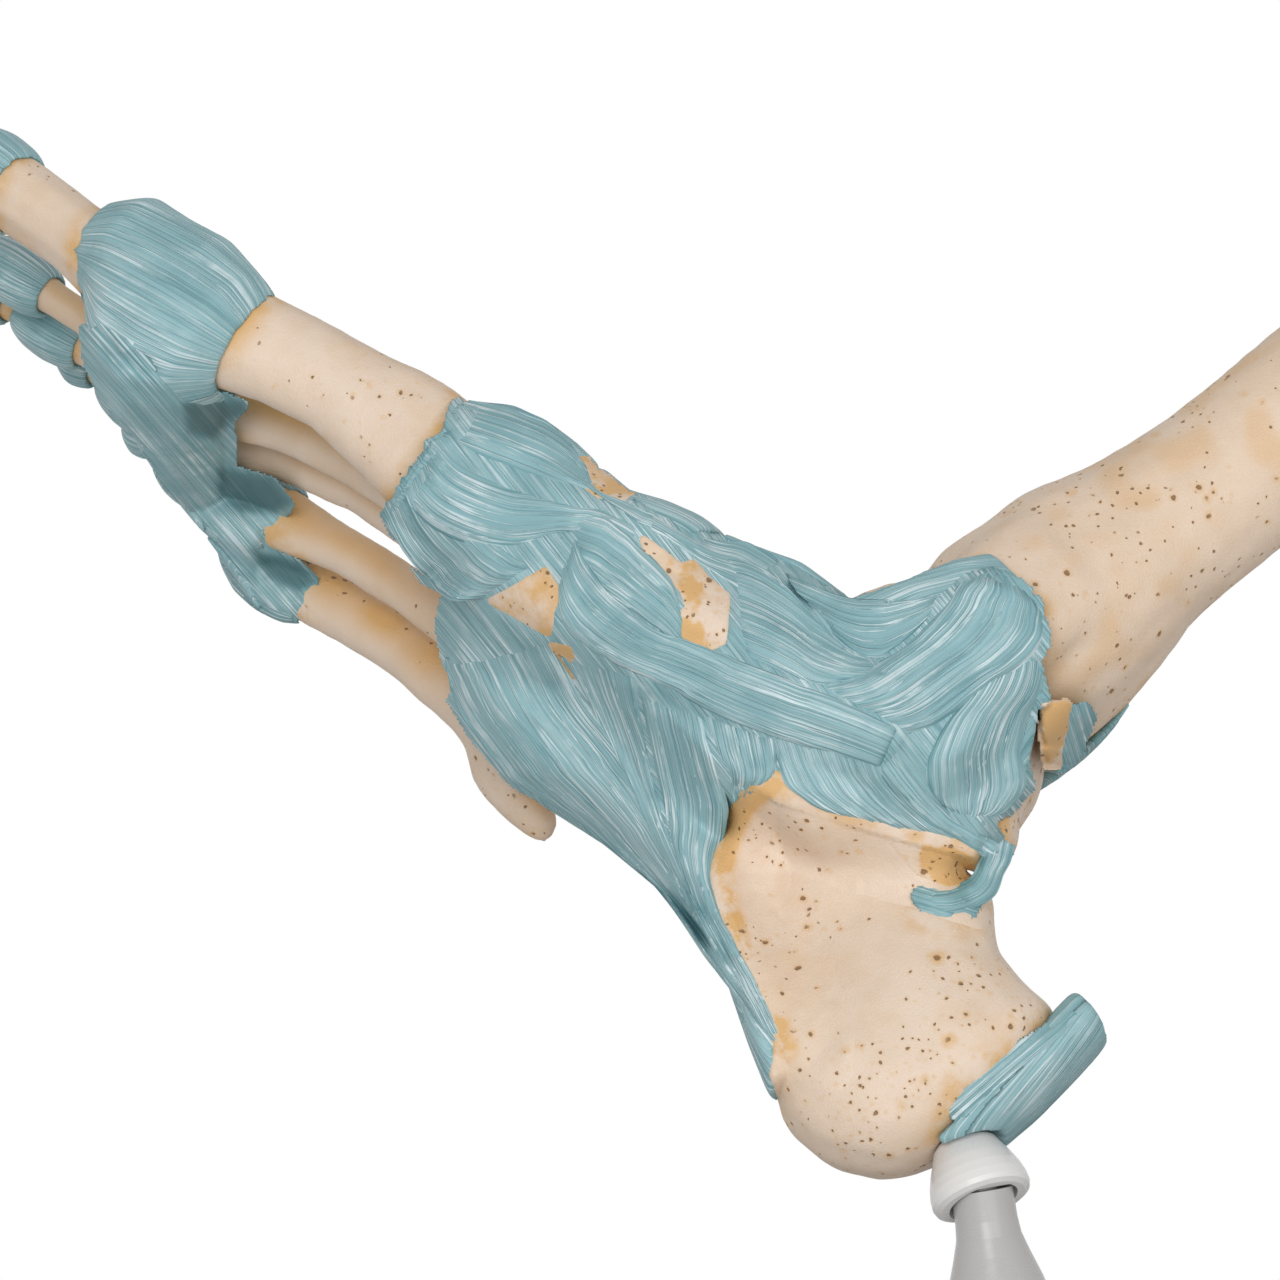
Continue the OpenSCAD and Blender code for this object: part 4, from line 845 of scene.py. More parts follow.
def steel_material():
    """Turned steel."""
    look = bpy.context.scene.stand_finish
    material, tree, shader = fresh("screw_steel")
    where = object_place(tree)
    turn = wire(tree, "ShaderNodeTexWave", {"Scale": 900.0, "Distortion": 1.2, "Detail": 2.0},
                {"Vector": where}, wave_type="RINGS", rings_direction="Z")
    mottle = mottled(tree, where, Patches=300.0)
    steel = tuple(look.steel)
    dull = tuple(c * 0.72 for c in steel)
    tree.links.new(blend(tree, mottle["Patch"], steel, dull), shader.inputs["Base Color"])
    shader.inputs["Metallic"].default_value = 1.0
    tree.links.new(plus(tree, 0.26, times(tree, mottle["Speck"], 0.14)),
                   shader.inputs["Roughness"])
    bumped(tree, shader, turn.outputs[1], 0.00004, 0.5)
    return material


def rubber_material():
    """Dull rubber with a fine pebbled skin."""
    look = bpy.context.scene.stand_finish
    material, tree, shader = fresh("pad_rubber")
    where = object_place(tree)
    mottle = mottled(tree, where, Patches=160.0, Speckle=1800.0)
    dark = tuple(look.rubber)
    dusty = tuple(c * 1.9 + 0.01 for c in dark)
    tree.links.new(blend(tree, mottle["Patch"], dark, dusty), shader.inputs["Base Color"])
    tree.links.new(plus(tree, 0.62, times(tree, mottle["Speck"], 0.2)),
                   shader.inputs["Roughness"])
    bumped(tree, shader, mottle["Speck"], 0.00015, 0.6)
    return material


def finish(name, maker):
    return bpy.data.materials.get(name) or maker()


# ---------------------------------------------------------------- bones

# How far the surface of the sesamoids is drawn in.
SESAMOID_SINK = 0.0007


def bone_form(node):
    """A packed bone, evened, softened and lightly dented."""
    look = bpy.context.scene.foot_finish
    small = "phalanx" in node or node == "sesamoids"
    size = look.bone_grid * (0.7 if small else 1.0)
    mesh = evened(node, size)
    rounded(mesh, 12 if small else 20)
    co, no = vertices_of(mesh), normals_of(mesh)
    broad = noise(5, *(co / 0.0075).T) - 0.5
    fine = noise(9, *(co / 0.0026).T) - 0.5
    depth = look.dent_depth * (0.6 if small else 1.0)
    if node == "sesamoids":
        co = co - no * SESAMOID_SINK
    put_vertices(mesh, co + no * (depth * (1.5 * broad + 0.7 * fine))[:, None])
    # Painted shade: amber-tan on the upper sides of the lesser metatarsals and toe bones. The tibia
    # gets clouded tan patches of its own tone instead.
    if node[-1] in "2345":
        put_value(mesh, "tan_and_shade", smoothstep(-0.3, 0.6, no[:, 2]) * (0.8 + 1.2 * broad))
    elif node == "tibia":
        cloud = noise(41, *(co / 0.005).T) - 0.45
        put_value(mesh, "tan_and_shade", 0.10 + 0.45 * smoothstep(0.0, 0.4, cloud))
    flat = co - co.mean(0)
    along = flat @ np.linalg.svd(flat[::7], full_matrices=False)[2][0]
    along = np.abs((along - along.min()) / np.ptp(along) - 0.5)
    put_value(mesh, "pits", PITTED.get(node, 0.16) + 0.22 * smoothstep(0.2, 0.42, along))
    return mesh


# How far a ligament stains the bone, and how far a place looks for what shuts it in, which sets the
# painted shade of its hollows.
STAIN_FAR = 0.006
SHUT_FAR = 0.014


def shade(bones, ligaments):
    """Marks how far each place is shut in, which sets its painted shade, and on the bones how near
    their ligaments are, which sets their stain.
    """
    cover = tree_of([mesh for mesh in ligaments if "_bare_" not in mesh.name])
    every = tree_of(bones + ligaments)
    spread = [Vector((math.cos(a) * s, math.sin(a) * s, c))
              for c, s, turns in ((0.9, 0.43, 3), (0.55, 0.83, 5))
              for a in (2 * math.pi * (k + 0.3 * s) / turns for k in range(turns))]
    for mesh in bones + ligaments:
        co, no = vertices_of(mesh), normals_of(mesh)
        near, shut = np.zeros(len(co)), np.zeros(len(co))
        bone = mesh in bones
        for i, (p, n) in enumerate(zip(co, no)):
            point, normal = Vector(p), Vector(n)
            if bone:
                found = cover.find_nearest(point, STAIN_FAR)
                near[i] = 0.0 if found[0] is None else 1 - found[3] / STAIN_FAR
            turn = normal.to_track_quat("Z", "Y")
            start = point + normal * 0.0004
            for way in spread:
                hit = every.ray_cast(start, turn @ way, SHUT_FAR)
                if hit[0] is not None:
                    shut[i] += 1 - hit[3] / SHUT_FAR
        if bone:
            put_value(mesh, "near", eased(mesh, smoothstep(0.30, 1.0, near), 2))
        put_value(mesh, "hollow_shade", eased(mesh, smoothstep(0.10, 0.75, shut / len(spread)), 2))


class FOOT_OT_bones(bpy.types.Operator):
    """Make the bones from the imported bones"""

    bl_idname = "foot.bones"
    bl_label = "Bones"

    def execute(self, context):
        bone = finish("bone_ivory", bone_material)
        for node in BONES:
            piece = show(node + "_bone", bone_form(node), bone)
            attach(piece, BODY)
            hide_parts(node)
        return {"FINISHED"}


# ---------------------------------------------------------------- ligaments

# Size of the faces of a packed ligament's evened mesh.
LIGAMENT_GRID = 0.00055


def cut_along(mesh, first, second, away):
    """Cuts a closed mesh along a line in the picture and drops the side on which away lies."""
    normal = np.cross(*sight([first, second]))
    normal = normal * np.sign((away - EYE) @ normal)
    form = bmesh.new()
    form.from_mesh(mesh)
    cut = bmesh.ops.bisect_plane(form, geom=form.verts[:] + form.edges[:] + form.faces[:],
                                 plane_co=EYE, plane_no=normal, clear_outer=True)
    rim = [item for item in cut["geom_cut"] if isinstance(item, bmesh.types.BMEdge)]
    bmesh.ops.triangle_fill(form, use_beauty=True, edges=rim)
    form.to_mesh(mesh)
    form.free()


def ligament_form(node, start, end, kind, seed):
    """A packed ligament, evened and softened, with fibres from one bone to the other."""
    look = bpy.context.scene.foot_finish
    mesh = evened(node, LIGAMENT_GRID)
    rounded(mesh, 16)
    if node in CUTS:
        cut_along(mesh, *CUTS[node], middle("metatarsal_1"))
    co, no = vertices_of(mesh), normals_of(mesh)
    way = middle(end) - middle(start)
    way = way / np.linalg.norm(way)
    along, across = np.zeros(len(co)), np.zeros(len(co))
    label = islands(mesh)
    for part in np.unique(label):
        here = label == part
        flat = co[here] - co[here].mean(0)
        along[here] = flat @ way
        aside = flat - along[here][:, None] * way
        first = np.linalg.svd(aside[::7], full_matrices=False)[2][0]
        second = np.cross(way, first)
        if kind == "sleeve":
            x, y = aside @ first, aside @ second
            across[here] = np.arctan2(y, x) * max(np.median(np.hypot(x, y)), 0.003)
        else:
            across[here] = aside @ (first + 0.8 * second)
    ridge = fibres(seed, along, across)
    put_vertices(mesh, co + no * (look.fibre_height * 1.4 * (ridge - 0.6))[:, None])
    put_value(mesh, "grain", np.stack([along, across, np.full(len(co), seed * 0.37)], 1))
    put_value(mesh, "ridge", ridge)
    put_value(mesh, "edge", np.zeros(len(co)))
    return mesh


class FOOT_OT_ligaments(bpy.types.Operator):
    """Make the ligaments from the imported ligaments"""

    bl_idname = "foot.ligaments"
    bl_label = "Ligaments"

    def execute(self, context):
        teal = finish("ligament_teal", ligament_material)
        for seed, (node, (start, end, kind)) in enumerate(LIGAMENTS.items()):
            piece = show(node + "_fibrous", ligament_form(node, start, end, kind, seed + 40), teal)
            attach(piece, BODY)
            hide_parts(node)
        return {"FINISHED"}


# ---------------------------------------------------------------- draped bands

# The cells of a sheet and of a band in the picture, in pixels, and the steepest slope away from the
# eye that either takes.
SHEET_CELL = 2.2
BAND_CELL = (4.0, 1.35)
STEEPEST = 2.6
# How deep in metres the underside of a sheet and of a band lies in what carries it.
SHEET_UNDER = 0.0009
BAND_UNDER = 0.0008
# What a sheet's grid has round its outline, and how far the rims of a sheet and of a bare place
# reach past theirs, in pixels.
SHEET_MARGIN = 14
SHEET_RIM = 7.0
BARE_RIM = 8
# How far in pixels a bare place takes to come down to the bone, and where it sinks into it.
BARE_DOWN = 84
BARE_SINK = (58, 96)


def cast_depth(layers, ways):
    """How far the eye sees along each way before it meets a layer; infinite where it meets none."""
    shape = ways.shape[:2]
    depth = np.full(shape, np.inf)
    eye = Vector(EYE)
    for i in range(shape[0]):
        for j in range(shape[1]):
            way = Vector(ways[i, j])
            for layer in layers:
                hit = layer.ray_cast(eye, way)
                if hit[0] is not None and hit[3] < depth[i, j]:
                    depth[i, j] = hit[3]
    return depth


def beside(values):
    """The values of the four neighbours, the rim repeated."""
    wide = np.pad(values, 1, mode="edge")
    return wide[:-2, 1:-1], wide[2:, 1:-1], wide[1:-1, :-2], wide[1:-1, 2:]


def wrapped(depth, step):
    """Fills the places past the outline, bending away from the eye."""
    depth = depth.copy()
    for _ in range(80):
        missing = ~np.isfinite(depth)
        if not missing.any():
            break
        around = np.stack(beside(depth))
        known = np.isfinite(around)
        total = np.where(known, around, 0).sum(0)
        count = known.sum(0)
        fill = missing & (count > 0)
        depth[fill] = total[fill] / count[fill] + np.broadcast_to(step, depth.shape)[fill] * 1.1
    known = np.isfinite(depth)
    return np.where(known, depth, depth[known].max())


def stretched(depth, cells, window=7, deep=0.0045, held=False, rounds=260, gap=False):
    """A skin drawn over the depths: it rests on what stands out and spans what lies deep."""
    spanned = np.asarray(gap) & np.ones(depth.shape, bool)
    nearest = depth.copy()
    for _ in range(window):
        nearest = np.minimum(nearest, np.min(np.stack(beside(nearest)), axis=0))
    gap = (depth - nearest > deep) & ~np.asarray(held) | gap
    skin = np.where(gap, nearest, depth)
    pull = np.where(gap, 0.0, 0.035)
    along, across = 1 / cells[0] ** 2, 1 / cells[1] ** 2
    for _ in range(rounds):
        up, down, left, right = beside(skin)
        mean = (along * (up + down) + across * (left + right)) / (2 * (along + across))
        skin = np.where(gap, mean, np.minimum(depth, mean * (1 - pull) + depth * pull))
        skin = np.where(gap & ~spanned, np.minimum(skin, depth), skin)
    rise = STEEPEST * PIXEL
    for _ in range(60):
        up, down, left, right = beside(skin)
        skin = np.minimum(skin, np.minimum(np.minimum(up, down) + rise * cells[0],
                                           np.minimum(left, right) + rise * cells[1]))
    return skin


def closed_sheet(name, top, low, quads):
    """A thin closed body from a grid's upper and lower points."""
    n = len(top)
    pairs = np.concatenate([quads[:, [k, (k + 1) % 4]] for k in range(4)])
    order = np.sort(pairs, axis=1)
    _, first, count = np.unique(order[:, 0] * n + order[:, 1],
                                return_index=True, return_counts=True)
    rim = pairs[first[count == 1]]
    walls = np.stack([rim[:, 1], rim[:, 0], rim[:, 0] + n, rim[:, 1] + n], -1)
    faces = np.concatenate([quads, quads[:, ::-1] + n, walls])
    mesh = bpy.data.meshes.new(name)
    mesh.from_pydata(np.concatenate([top, low]).tolist(), [], faces.tolist())
    mesh.update()
    fixed = bmesh.new()
    fixed.from_mesh(mesh)
    bmesh.ops.delete(fixed, geom=[v for v in fixed.verts if not v.link_faces], context="VERTS")
    bmesh.ops.recalc_face_normals(fixed, faces=fixed.faces)
    fixed.to_mesh(mesh)
    fixed.free()
    return mesh


def inside(points, outline):
    """How far picture points lie inside an outline, and below zero outside it."""
    line = np.asarray(outline, float)
    after = np.roll(line, -1, axis=0)
    best = np.full(len(points), np.inf)
    crossed = np.zeros(len(points), bool)
    for a, b in zip(line, after):
        d = b - a
        t = np.clip(((points - a) @ d) / (d @ d), 0, 1)
        best = np.minimum(best, np.linalg.norm(points - a - t[:, None] * d, axis=1))
        spans = (a[1] > points[:, 1]) != (b[1] > points[:, 1])
        x = a[0] + (points[:, 1] - a[1]) / (d[1] if d[1] else 1e-9) * d[0]
        crossed ^= spans & (points[:, 0] < x)
    return np.where(crossed, best, -best)


def past_outline(depth):
    """The cells beyond the object's outline: they meet nothing and join the rim of the grid."""
    miss = ~np.isfinite(depth)
    found = miss.copy()
    found[1:-1, 1:-1] = False
    while True:
        grown = miss & (found | np.any(np.stack(beside(found)), axis=0))
        if (grown == found).all():
            return found
        found = grown


def steps_from(cells, most):
    """How many cells each cell lies from the marked ones, up to the most."""
    count = np.where(cells, 0, most)
    for k in range(1, most):
        cells = cells | np.any(np.stack(beside(cells)), axis=0)
        count = np.where(cells, np.minimum(count, k), count)
    return count


def corners(grid):
    """The four corners of each cell of a grid."""
    return np.stack([grid[:-1, :-1], grid[1:, :-1], grid[1:, 1:], grid[:-1, 1:]], -1)


def grid_sheet(name, ways, top, low, kept):
    """The kept cells of a grid in the picture as a thin closed body, and which points it uses."""
    grid = np.arange(kept.size).reshape(kept.shape)
    used, quads = np.unique(corners(grid)[corners(kept).all(-1)], return_inverse=True)
    ways = ways.reshape(-1, 3)[used]
    above, below = (EYE + ways * d.ravel()[used][:, None] for d in (top, low))
    return closed_sheet(name, above, below, quads.reshape(-1, 4)), used


def sheet_forms(name, outline, bare, way, layers, seed, span=17, dark=()):
    """A thin sheet laid on the layers inside an outline, and the bone that its open places show."""
    look = bpy.context.scene.foot_finish
    step = SHEET_CELL
    every = np.concatenate([np.array(line, float) for line in [outline] + [h for _, h in bare]])
    low, high = every.min(0) - SHEET_MARGIN, every.max(0) + SHEET_MARGIN
    picture = np.stack(np.meshgrid(np.arange(low[0], high[0], step),
                                   np.arange(low[1], high[1], step)), -1)
    flat = picture.reshape(-1, 2)
    shape = picture.shape[:2]
    ways = sight(picture)
    depth = cast_depth(layers, ways)
    outside = past_outline(depth)
    gap = ~np.isfinite(depth) & ~outside
    room = inside(flat, outline)
    within = room.reshape(shape)
    holes = [inside(flat, hole).reshape(shape) for _, hole in bare]
    for hole in holes:
        room = np.minimum(room, -hole.ravel())
    away = steps_from(outside, 9)
    depth = wrapped(np.where(gap, np.inf, depth), PIXEL * step * np.where(gap, 0, 1))
    skin = stretched(depth, (step, step), window=span, deep=0.0028, held=away < 6, rounds=240,
                     gap=gap)
    slope = np.hypot(*np.gradient(skin, PIXEL * step)).ravel()
    rag = 5.0 * noise(seed, *(flat / 11).T) + 3.5 * noise(seed + 1, *(flat / 4.5).T) - 4.25
    room = (room + rag / (1 + slope ** 2)).reshape(shape)
    room = np.minimum(room, away * step - SHEET_RIM)
    body = smoothstep(-4, 11, room)
    along, across = np.array(way), np.array((way[1], -way[0]))
    u, v = ((flat @ axis).reshape(shape) * PIXEL for axis in (along, across))
    ridge = fibres(seed + 2, u, v)
    top = skin + 0.0004 - 0.0008 * body - look.fibre_height * (ridge - 0.5) * body
    sheet, used = grid_sheet(name, ways, top, skin + SHEET_UNDER, room > -SHEET_RIM)
    u, v, ridge, body = (a.ravel()[used] for a in (u, v, ridge, body))
    grain = np.stack([u, v, np.full_like(u, seed * 0.37)], -1)
    put_on_both(sheet, "grain", grain)
    put_on_both(sheet, "ridge", ridge)
    # edge carries the painted shade along the sheet's rim.
    put_on_both(sheet, "edge", 1 - body)
    # Painted shade in the places marked dark.
    painted_shade = np.zeros(len(flat))
    for form in dark:
        painted_shade = np.maximum(painted_shade, smoothstep(-5, 9, inside(flat, form)))
    put_on_both(sheet, "dark", painted_shade[used])
    patches = []
    rough = noise(seed + 9, *(picture / 9.0).transpose(2, 0, 1)) - 0.5
    rest = skin + (depth - skin) * smoothstep(0, BARE_DOWN, -within)
    sunk = rest + 0.0006 + 0.0009 * smoothstep(*BARE_SINK, -within) - 0.0002 * rough
    warm = 2.2 - 1.5 * smoothstep(755, 820, picture[..., 0])
    # Each bare place turns amber by its share: stain, and at the ankle painted shade as well.
    for k, ((stain_and_shade, _), hole) in enumerate(zip(bare, holes)):
        top = sunk - (0.00072 + 0.00004 * k) * smoothstep(-BARE_RIM, -3, hole)
        under = np.maximum(rest + SHEET_UNDER, top + 0.0004)
        patch, used = grid_sheet(name + "_bare_%d" % (k + 1), ways, top, under,
                                 (hole > -BARE_RIM) & ~outside)
        rim = np.where(within > 0, 1 - smoothstep(0, 9, hole), warm * smoothstep(24, 3, -within))
        near = np.maximum(stain_and_shade * smoothstep(-6, 4, hole), rim).ravel()[used]
        put_on_both(patch, "near", near)
        put_value(patch, "pits", np.full(2 * len(used), 0.75 if stain_and_shade else 0.45))
        patches.append(patch)
    return sheet, patches


def band_form(name, rows, lift, cord, layers, seed, blunt=False):
    """A fibrous band between two edges in the picture, laid on the layers beneath it."""
    look = bpy.context.scene.foot_finish
    first, second = np.array(rows, float).reshape(-1, 2, 2).transpose(1, 0, 2)
    centre = through((first + second) / 2, 200)
    long = np.linalg.norm(np.diff(centre, axis=0), axis=1).sum()
    broad = np.linalg.norm(first - second, axis=1).max()
    rows_n, cols_n = int(long / BAND_CELL[0]) + 2, int(broad / BAND_CELL[1]) + 2
    s = np.linspace(0, 1, rows_n)
    t = np.linspace(0, 1, cols_n)
    a, b = through(first, rows_n), through(second, rows_n)
    rag = np.stack([noise(seed + k, s * long / 16.0) for k in (1, 2)]) - 0.5
    side = (b - a) / np.maximum(np.linalg.norm(b - a, axis=1), 1)[:, None]
    a = a + side * (2.2 * rag[0])[:, None]
    b = b - side * (2.2 * rag[1])[:, None]
    picture = a[:, None] * (1 - t)[None, :, None] + b[:, None] * t[None, :, None]
    if not blunt:
        tongue = 7.0 * (noise(seed + 5, t * broad / 7.0) - 0.5)
        head = a[0] - a[1] + b[0] - b[1]
        tail = a[-1] - a[-2] + b[-1] - b[-2]
        head, tail = head / np.linalg.norm(head), tail / np.linalg.norm(tail)
        fade = np.clip(1 - s * long / 22.0, 0, 1)
        picture = picture + (fade[:, None] * tongue)[..., None] * head
        picture = picture + (fade[::-1, None] * tongue[::-1])[..., None] * tail
    ways = sight(picture)
    skin = stretched(wrapped(cast_depth(layers, ways), PIXEL * 1.4), BAND_CELL)
    u = s[:, None] * long * PIXEL + 0 * t[None, :]
    width = np.linalg.norm(b - a, axis=1)
    v = (t[None, :] - 0.5) * (0.5 * width + 0.5 * width.mean())[:, None] * PIXEL
    ridge = fibres(seed, u, v)
    cords = noise(seed + 7, v / 0.0031, u / 0.03) - 0.5
    rim = np.minimum(t, 1 - t)[None, :] * width[:, None]
    body = smoothstep(0, 5 if blunt else 8, rim)
    ends = np.minimum(s, 1 - s)[:, None] * long
    close = smoothstep(0, 26, ends)
    if blunt:
        close = np.maximum(close, smoothstep(0.5, 0.4, s)[:, None] * smoothstep(0, 5, ends))
    body = body * close
    top = skin + 0.00035 - body * (0.00035 + lift * MM + cord * MM * cords)
    top = top - np.sqrt(body) * look.fibre_height * 1.6 * (ridge - 0.5)
    low = skin + BAND_UNDER
    above, below = ((EYE + ways * d[..., None]).reshape(-1, 3) for d in (top, low))
    grid = np.arange(rows_n * cols_n).reshape(rows_n, cols_n)
    mesh = closed_sheet(name, above, below, corners(grid).reshape(-1, 4))
    grain = np.stack([u, v, np.full_like(u, seed * 0.37)], -1).reshape(-1, 3)
    put_on_both(mesh, "grain", grain)
    put_on_both(mesh, "ridge", ridge.ravel())
    # edge carries the painted shade along the band's rims and ends.
    put_on_both(mesh, "edge", (1 - body).ravel())
    strands = strand_lines(ways, top, body, seed, look.strand_radius)
    return mesh, strands


def strand_lines(ways, top, body, seed, radius):
    """Loose strands on a band: runs of points along its fibres, with their radii."""
    rows_n, cols_n = top.shape
    lines = []
    for k in range(max(4, cols_n // 5)):
        a, b, c, d = (lattice(seed + n, np.array(float(k))) for n in (11, 12, 13, 15))
        column = 2 + (cols_n - 5) * a
        start = int(rows_n * 0.75 * b)
        count = int(rows_n * (0.2 + 0.5 * c))
        run = np.arange(start, min(start + max(count, 6), rows_n - 1))
        if len(run) < 6:
            continue
        drift = 3.0 * (noise(seed + 14, run / 9.0 + k * 7.3) - 0.5)
        column = np.clip(column + drift, 1, cols_n - 2)
        c0 = column.astype(int)
        w = (column - c0)[:, None]
        way = ways[run, c0] * (1 - w) + ways[run, c0 + 1] * w
        deep = top[run, c0] * (1 - w[:, 0]) + top[run, c0 + 1] * w[:, 0]
        taper = np.sin(np.pi * np.linspace(0.06, 0.94, len(run))) ** 0.6
        thick = radius * (0.6 + 0.8 * d) * taper
        points = EYE + way * (deep - 0.25 * thick)[:, None]
        lines.append((points, thick))
    return lines


def strand_tree():
    """Geometry nodes: round strands swept along the edges of a mesh, each with its own radius."""
    tree = bpy.data.node_groups.new("loose_strands", "GeometryNodeTree")
    tree.interface.new_socket("Lines", in_out="INPUT", socket_type="NodeSocketGeometry")
    swell = tree.interface.new_socket("Swell", in_out="INPUT", socket_type=FLOAT)
    swell.default_value = 1.0
    sides = tree.interface.new_socket("Sides", in_out="INPUT", socket_type="NodeSocketInt")
    sides.default_value = 5
    paint = tree.interface.new_socket("Finish", in_out="INPUT", socket_type="NodeSocketMaterial")
    tree.interface.new_socket("Strands", in_out="OUTPUT", socket_type="NodeSocketGeometry")
    into, out = tree.nodes.new("NodeGroupInput"), tree.nodes.new("NodeGroupOutput")
    line = wire(tree, "GeometryNodeMeshToCurve", None, {0: into.outputs["Lines"]})
    thick = wire(tree, "GeometryNodeInputNamedAttribute", {"Name": "thick"}, data_type="FLOAT")
    size = times(tree, thick.outputs["Attribute"], into.outputs["Swell"])
    circle = wire(tree, "GeometryNodeCurvePrimitiveCircle", {"Radius": 1.0},
                  {"Resolution": into.outputs["Sides"]})
    sweep = wire(tree, "GeometryNodeCurveToMesh", {"Fill Caps": True},
                 {"Curve": line.outputs[0], "Profile Curve": circle.outputs[0], "Scale": size})
    whole = wire(tree, "GeometryNodeRealizeInstances", None, {0: sweep.outputs[0]})
    painted = wire(tree, "GeometryNodeSetMaterial", None,
                   {"Geometry": whole.outputs[0], "Material": into.outputs["Finish"]})
    tree.links.new(painted.outputs[0], out.inputs[0])
    return tree, {"swell": swell.identifier, "sides": sides.identifier, "paint": paint.identifier}


def swept(name, lines, material):
    """The strands of all bands as one mesh."""
    points, edges, thick = [], [], []
    for run, radius in lines:
        start = len(points)
        points += run.tolist()
        edges += [(start + i, start + i + 1) for i in range(len(run) - 1)]
        thick += radius.tolist()
    mesh = bpy.data.meshes.new(name + "_lines")
    mesh.from_pydata(points, edges, [])
    put_value(mesh, "thick", np.array(thick))
    holder = bpy.data.objects.new(name + "_lines", mesh)
    bpy.context.scene.collection.objects.link(holder)
    tree, keys = strand_tree()
    step = holder.modifiers.new("Strands", "NODES")
    step.node_group = tree
    step[keys["swell"]] = 1.0
    step[keys["sides"]] = 5
    step[keys["paint"]] = material
    result = settled(holder, name)
    count = len(result.vertices)
    co = vertices_of(result)
    put_value(result, "grain", co * np.array((1.0, 0.2, 1.0)))
    # The strands take the pale crest colour, the painted highlight of the bands, and no painted
    # shade.
    put_value(result, "ridge", np.full(count, 0.85))
    put_value(result, "edge", np.zeros(count))
    put_value(result, "hollow_shade", np.zeros(count))
    return result


class FOOT_OT_bands(bpy.types.Operator):
    """Lay the fibrous bands of the inner side over the bones and ligaments"""

    bl_idname = "foot.bands"
    bl_label = "Fibrous Bands"

    def execute(self, context):
        teal = finish("ligament_teal", ligament_material)
        things = bpy.data.objects
        bones = [things[n + "_bone"].data for n in BONES]
        under = [things[n + "_fibrous"].data for n in LIGAMENTS]
        layers = [tree_of(bones + under)]
        bands, strands = [], []
        bone = finish("bone_ivory", bone_material)
        for seed, (name, sheet) in enumerate(SHEETS.items()):
            mesh, patches = sheet_forms(name, layers=layers, seed=70 + seed * 13, **sheet)
            forms = [(mesh, teal, "ligament")] + [(patch, bone, "bone") for patch in patches]
            for form, material, kind in forms:
                piece = show(form.name, form, material)
                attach(piece, BODY)
                bands.append(form)
            layers.append(tree_of([mesh] + patches))
        for seed, (name, band) in enumerate(BANDS.items()):
            mesh, lines = band_form(name, layers=layers, seed=seed * 31 + 7, **band)
            piece = show(name, mesh, teal)
            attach(piece, BODY)
            layers.append(tree_of([mesh]))
            bands.append(mesh)
            strands += lines
        piece = show("loose_strands", swept("loose_strands", strands, teal), teal)
        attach(piece, BODY)
        shade(bones, under + bands)
        return {"FINISHED"}


# ---------------------------------------------------------------- stand


class FOOT_OT_stand(bpy.types.Operator):
    """Give the stand its finishes"""

    bl_idname = "foot.stand"
    bl_label = "Stand"

    def execute(self, context):
        plastic = finish("stand_plastic", stand_material)
        post = finish("post_plastic", post_material)
        steel = finish("screw_steel", steel_material)
        rubber = finish("pad_rubber", rubber_material)
        for node, material in (("base_plate", post), ("post", post), ("collar", plastic),
                               ("heel_peg", steel), ("post_screw", steel), ("base_pad", rubber)):
            mesh = frame["nodes"][node].data
            mesh.materials.clear()
            mesh.materials.append(material)
        return {"FINISHED"}


# ---------------------------------------------------------------- stage


def lamp(name, place, aim, size, power):
    light = bpy.data.lights.new(name, "AREA")
    light.shape = "DISK"
    light.size = size
    light.energy = power
    holder = bpy.data.objects.new(name, light)
    holder.location = place
    way = Vector(aim) - Vector(place)
    holder.rotation_euler = way.to_track_quat("-Z", "Y").to_euler()
    bpy.context.scene.collection.objects.link(holder)


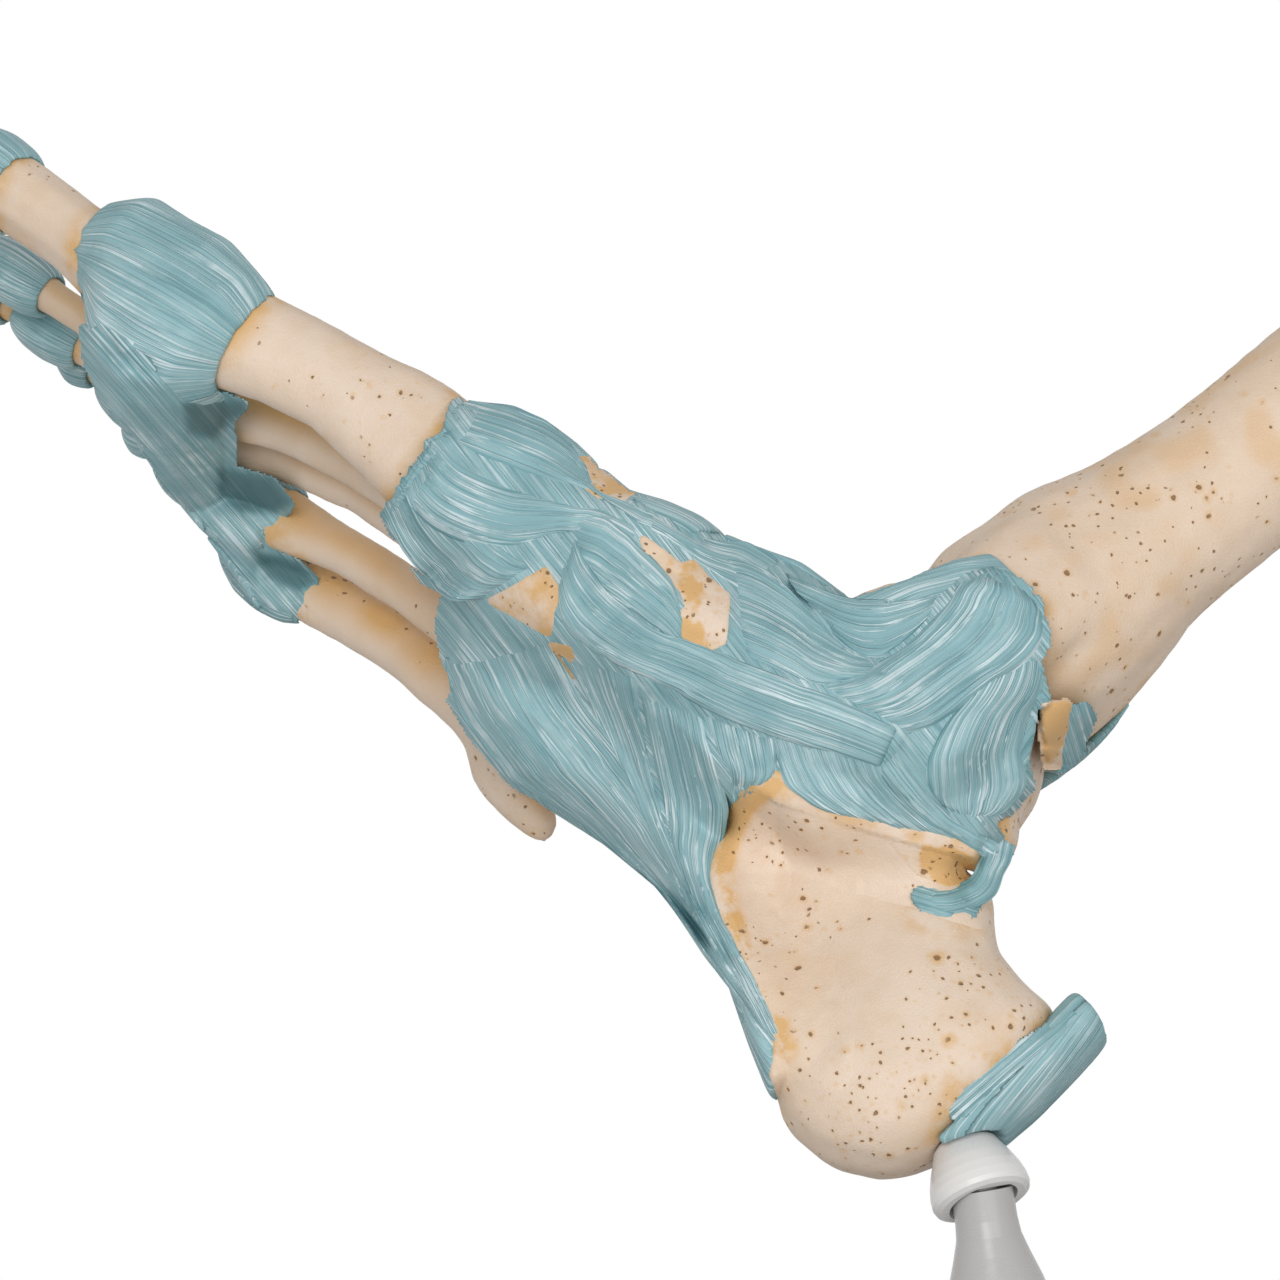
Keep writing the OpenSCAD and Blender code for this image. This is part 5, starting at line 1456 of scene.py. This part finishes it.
class FOOT_OT_stage(bpy.types.Operator):
    """Make the floor, the light and the camera"""

    bl_idname = "foot.stage"
    bl_label = "Stage"

    def execute(self, context):
        scene = context.scene
        look = scene.stage_finish
        bm = bmesh.new()
        bmesh.ops.create_circle(bm, cap_ends=True, segments=96, radius=0.75)
        mesh = bpy.data.meshes.new("floor")
        bm.to_mesh(mesh)
        bm.free()
        floor = bpy.data.objects.new("floor", mesh)
        scene.collection.objects.link(floor)
        material, tree, shader = fresh("floor_paper")
        where = object_place(tree)
        mottle = mottled(tree, where, Patches=12.0, Speckle=900.0)
        pale = tuple(look.floor)
        tree.links.new(blend(tree, mottle["Patch"], pale, tuple(c * 0.985 for c in pale)),
                       shader.inputs["Base Color"])
        shader.inputs["Roughness"].default_value = 0.9
        mesh.materials.append(material)

        world = bpy.data.worlds.new("room")
        scene.world = world
        world.use_nodes = True
        tree = world.node_tree
        tree.nodes.clear()
        path = tree.nodes.new("ShaderNodeLightPath")
        seen = maths(tree, "MAXIMUM", path.outputs["Is Camera Ray"],
                     maths(tree, "MAXIMUM", path.outputs["Is Glossy Ray"],
                           path.outputs["Is Transmission Ray"]))
        white = wire(tree, "ShaderNodeBackground", {"Color": (1, 1, 1, 1), "Strength": 1.0})
        room = wire(tree, "ShaderNodeBackground",
                    {"Color": (1, 1, 1, 1), "Strength": look.ambient})
        choose = wire(tree, "ShaderNodeMixShader", None,
                      {0: seen, 1: room.outputs[0], 2: white.outputs[0]})
        out = tree.nodes.new("ShaderNodeOutputWorld")
        tree.links.new(choose.outputs[0], out.inputs[0])

        centre = (-0.04, 0.0, 0.19)
        lamp("main_lamp", (-0.18, -1.20, 0.45), centre, 0.7, look.key)
        lamp("second_lamp", (0.45, -1.05, 0.10), centre, 0.8, look.fill)

        camera = bpy.data.cameras.new("camera")
        camera.sensor_width = SENSOR
        camera.lens = EYE_LENS
        camera.clip_start = 0.05
        holder = bpy.data.objects.new("camera", camera)
        holder.location = EYE
        holder.rotation_euler = EYE_TURN
        scene.collection.objects.link(holder)
        scene.camera = holder
        scene.view_settings.view_transform = "Standard"
        return {"FINISHED"}


# ---------------------------------------------------------------- panel


class FOOT_PT_model(bpy.types.Panel):
    """Steps and values of the study model"""

    bl_label = "Foot Model"
    bl_idname = "FOOT_PT_model"
    bl_space_type = "VIEW_3D"
    bl_region_type = "UI"
    bl_category = "Foot Model"

    def draw(self, context):
        layout = self.layout
        for step in STEPS:
            layout.operator(step.bl_idname)
        for title, group_name in (("Foot", "foot_finish"), ("Stand", "stand_finish"),
                                  ("Stage", "stage_finish")):
            box = layout.box()
            box.label(text=title)
            values = getattr(context.scene, group_name)
            for key in values.bl_rna.properties.keys():
                if key not in ("rna_type", "name"):
                    box.prop(values, key)


STEPS = (FOOT_OT_bones, FOOT_OT_ligaments, FOOT_OT_bands, FOOT_OT_stand, FOOT_OT_stage)
CLASSES = (FootFinish, StandFinish, StageFinish) + STEPS + (FOOT_PT_model,)


def register():
    for item in CLASSES:
        bpy.utils.register_class(item)
    bpy.types.Scene.foot_finish = bpy.props.PointerProperty(type=FootFinish)
    bpy.types.Scene.stand_finish = bpy.props.PointerProperty(type=StandFinish)
    bpy.types.Scene.stage_finish = bpy.props.PointerProperty(type=StageFinish)


def unregister():
    del bpy.types.Scene.stage_finish
    del bpy.types.Scene.stand_finish
    del bpy.types.Scene.foot_finish
    for item in reversed(CLASSES):
        bpy.utils.unregister_class(item)


def main():
    register()
    bpy.ops.foot.bones()
    bpy.ops.foot.ligaments()
    bpy.ops.foot.bands()
    bpy.ops.foot.stand()
    bpy.ops.foot.stage()


if __name__ == "__main__":
    main()
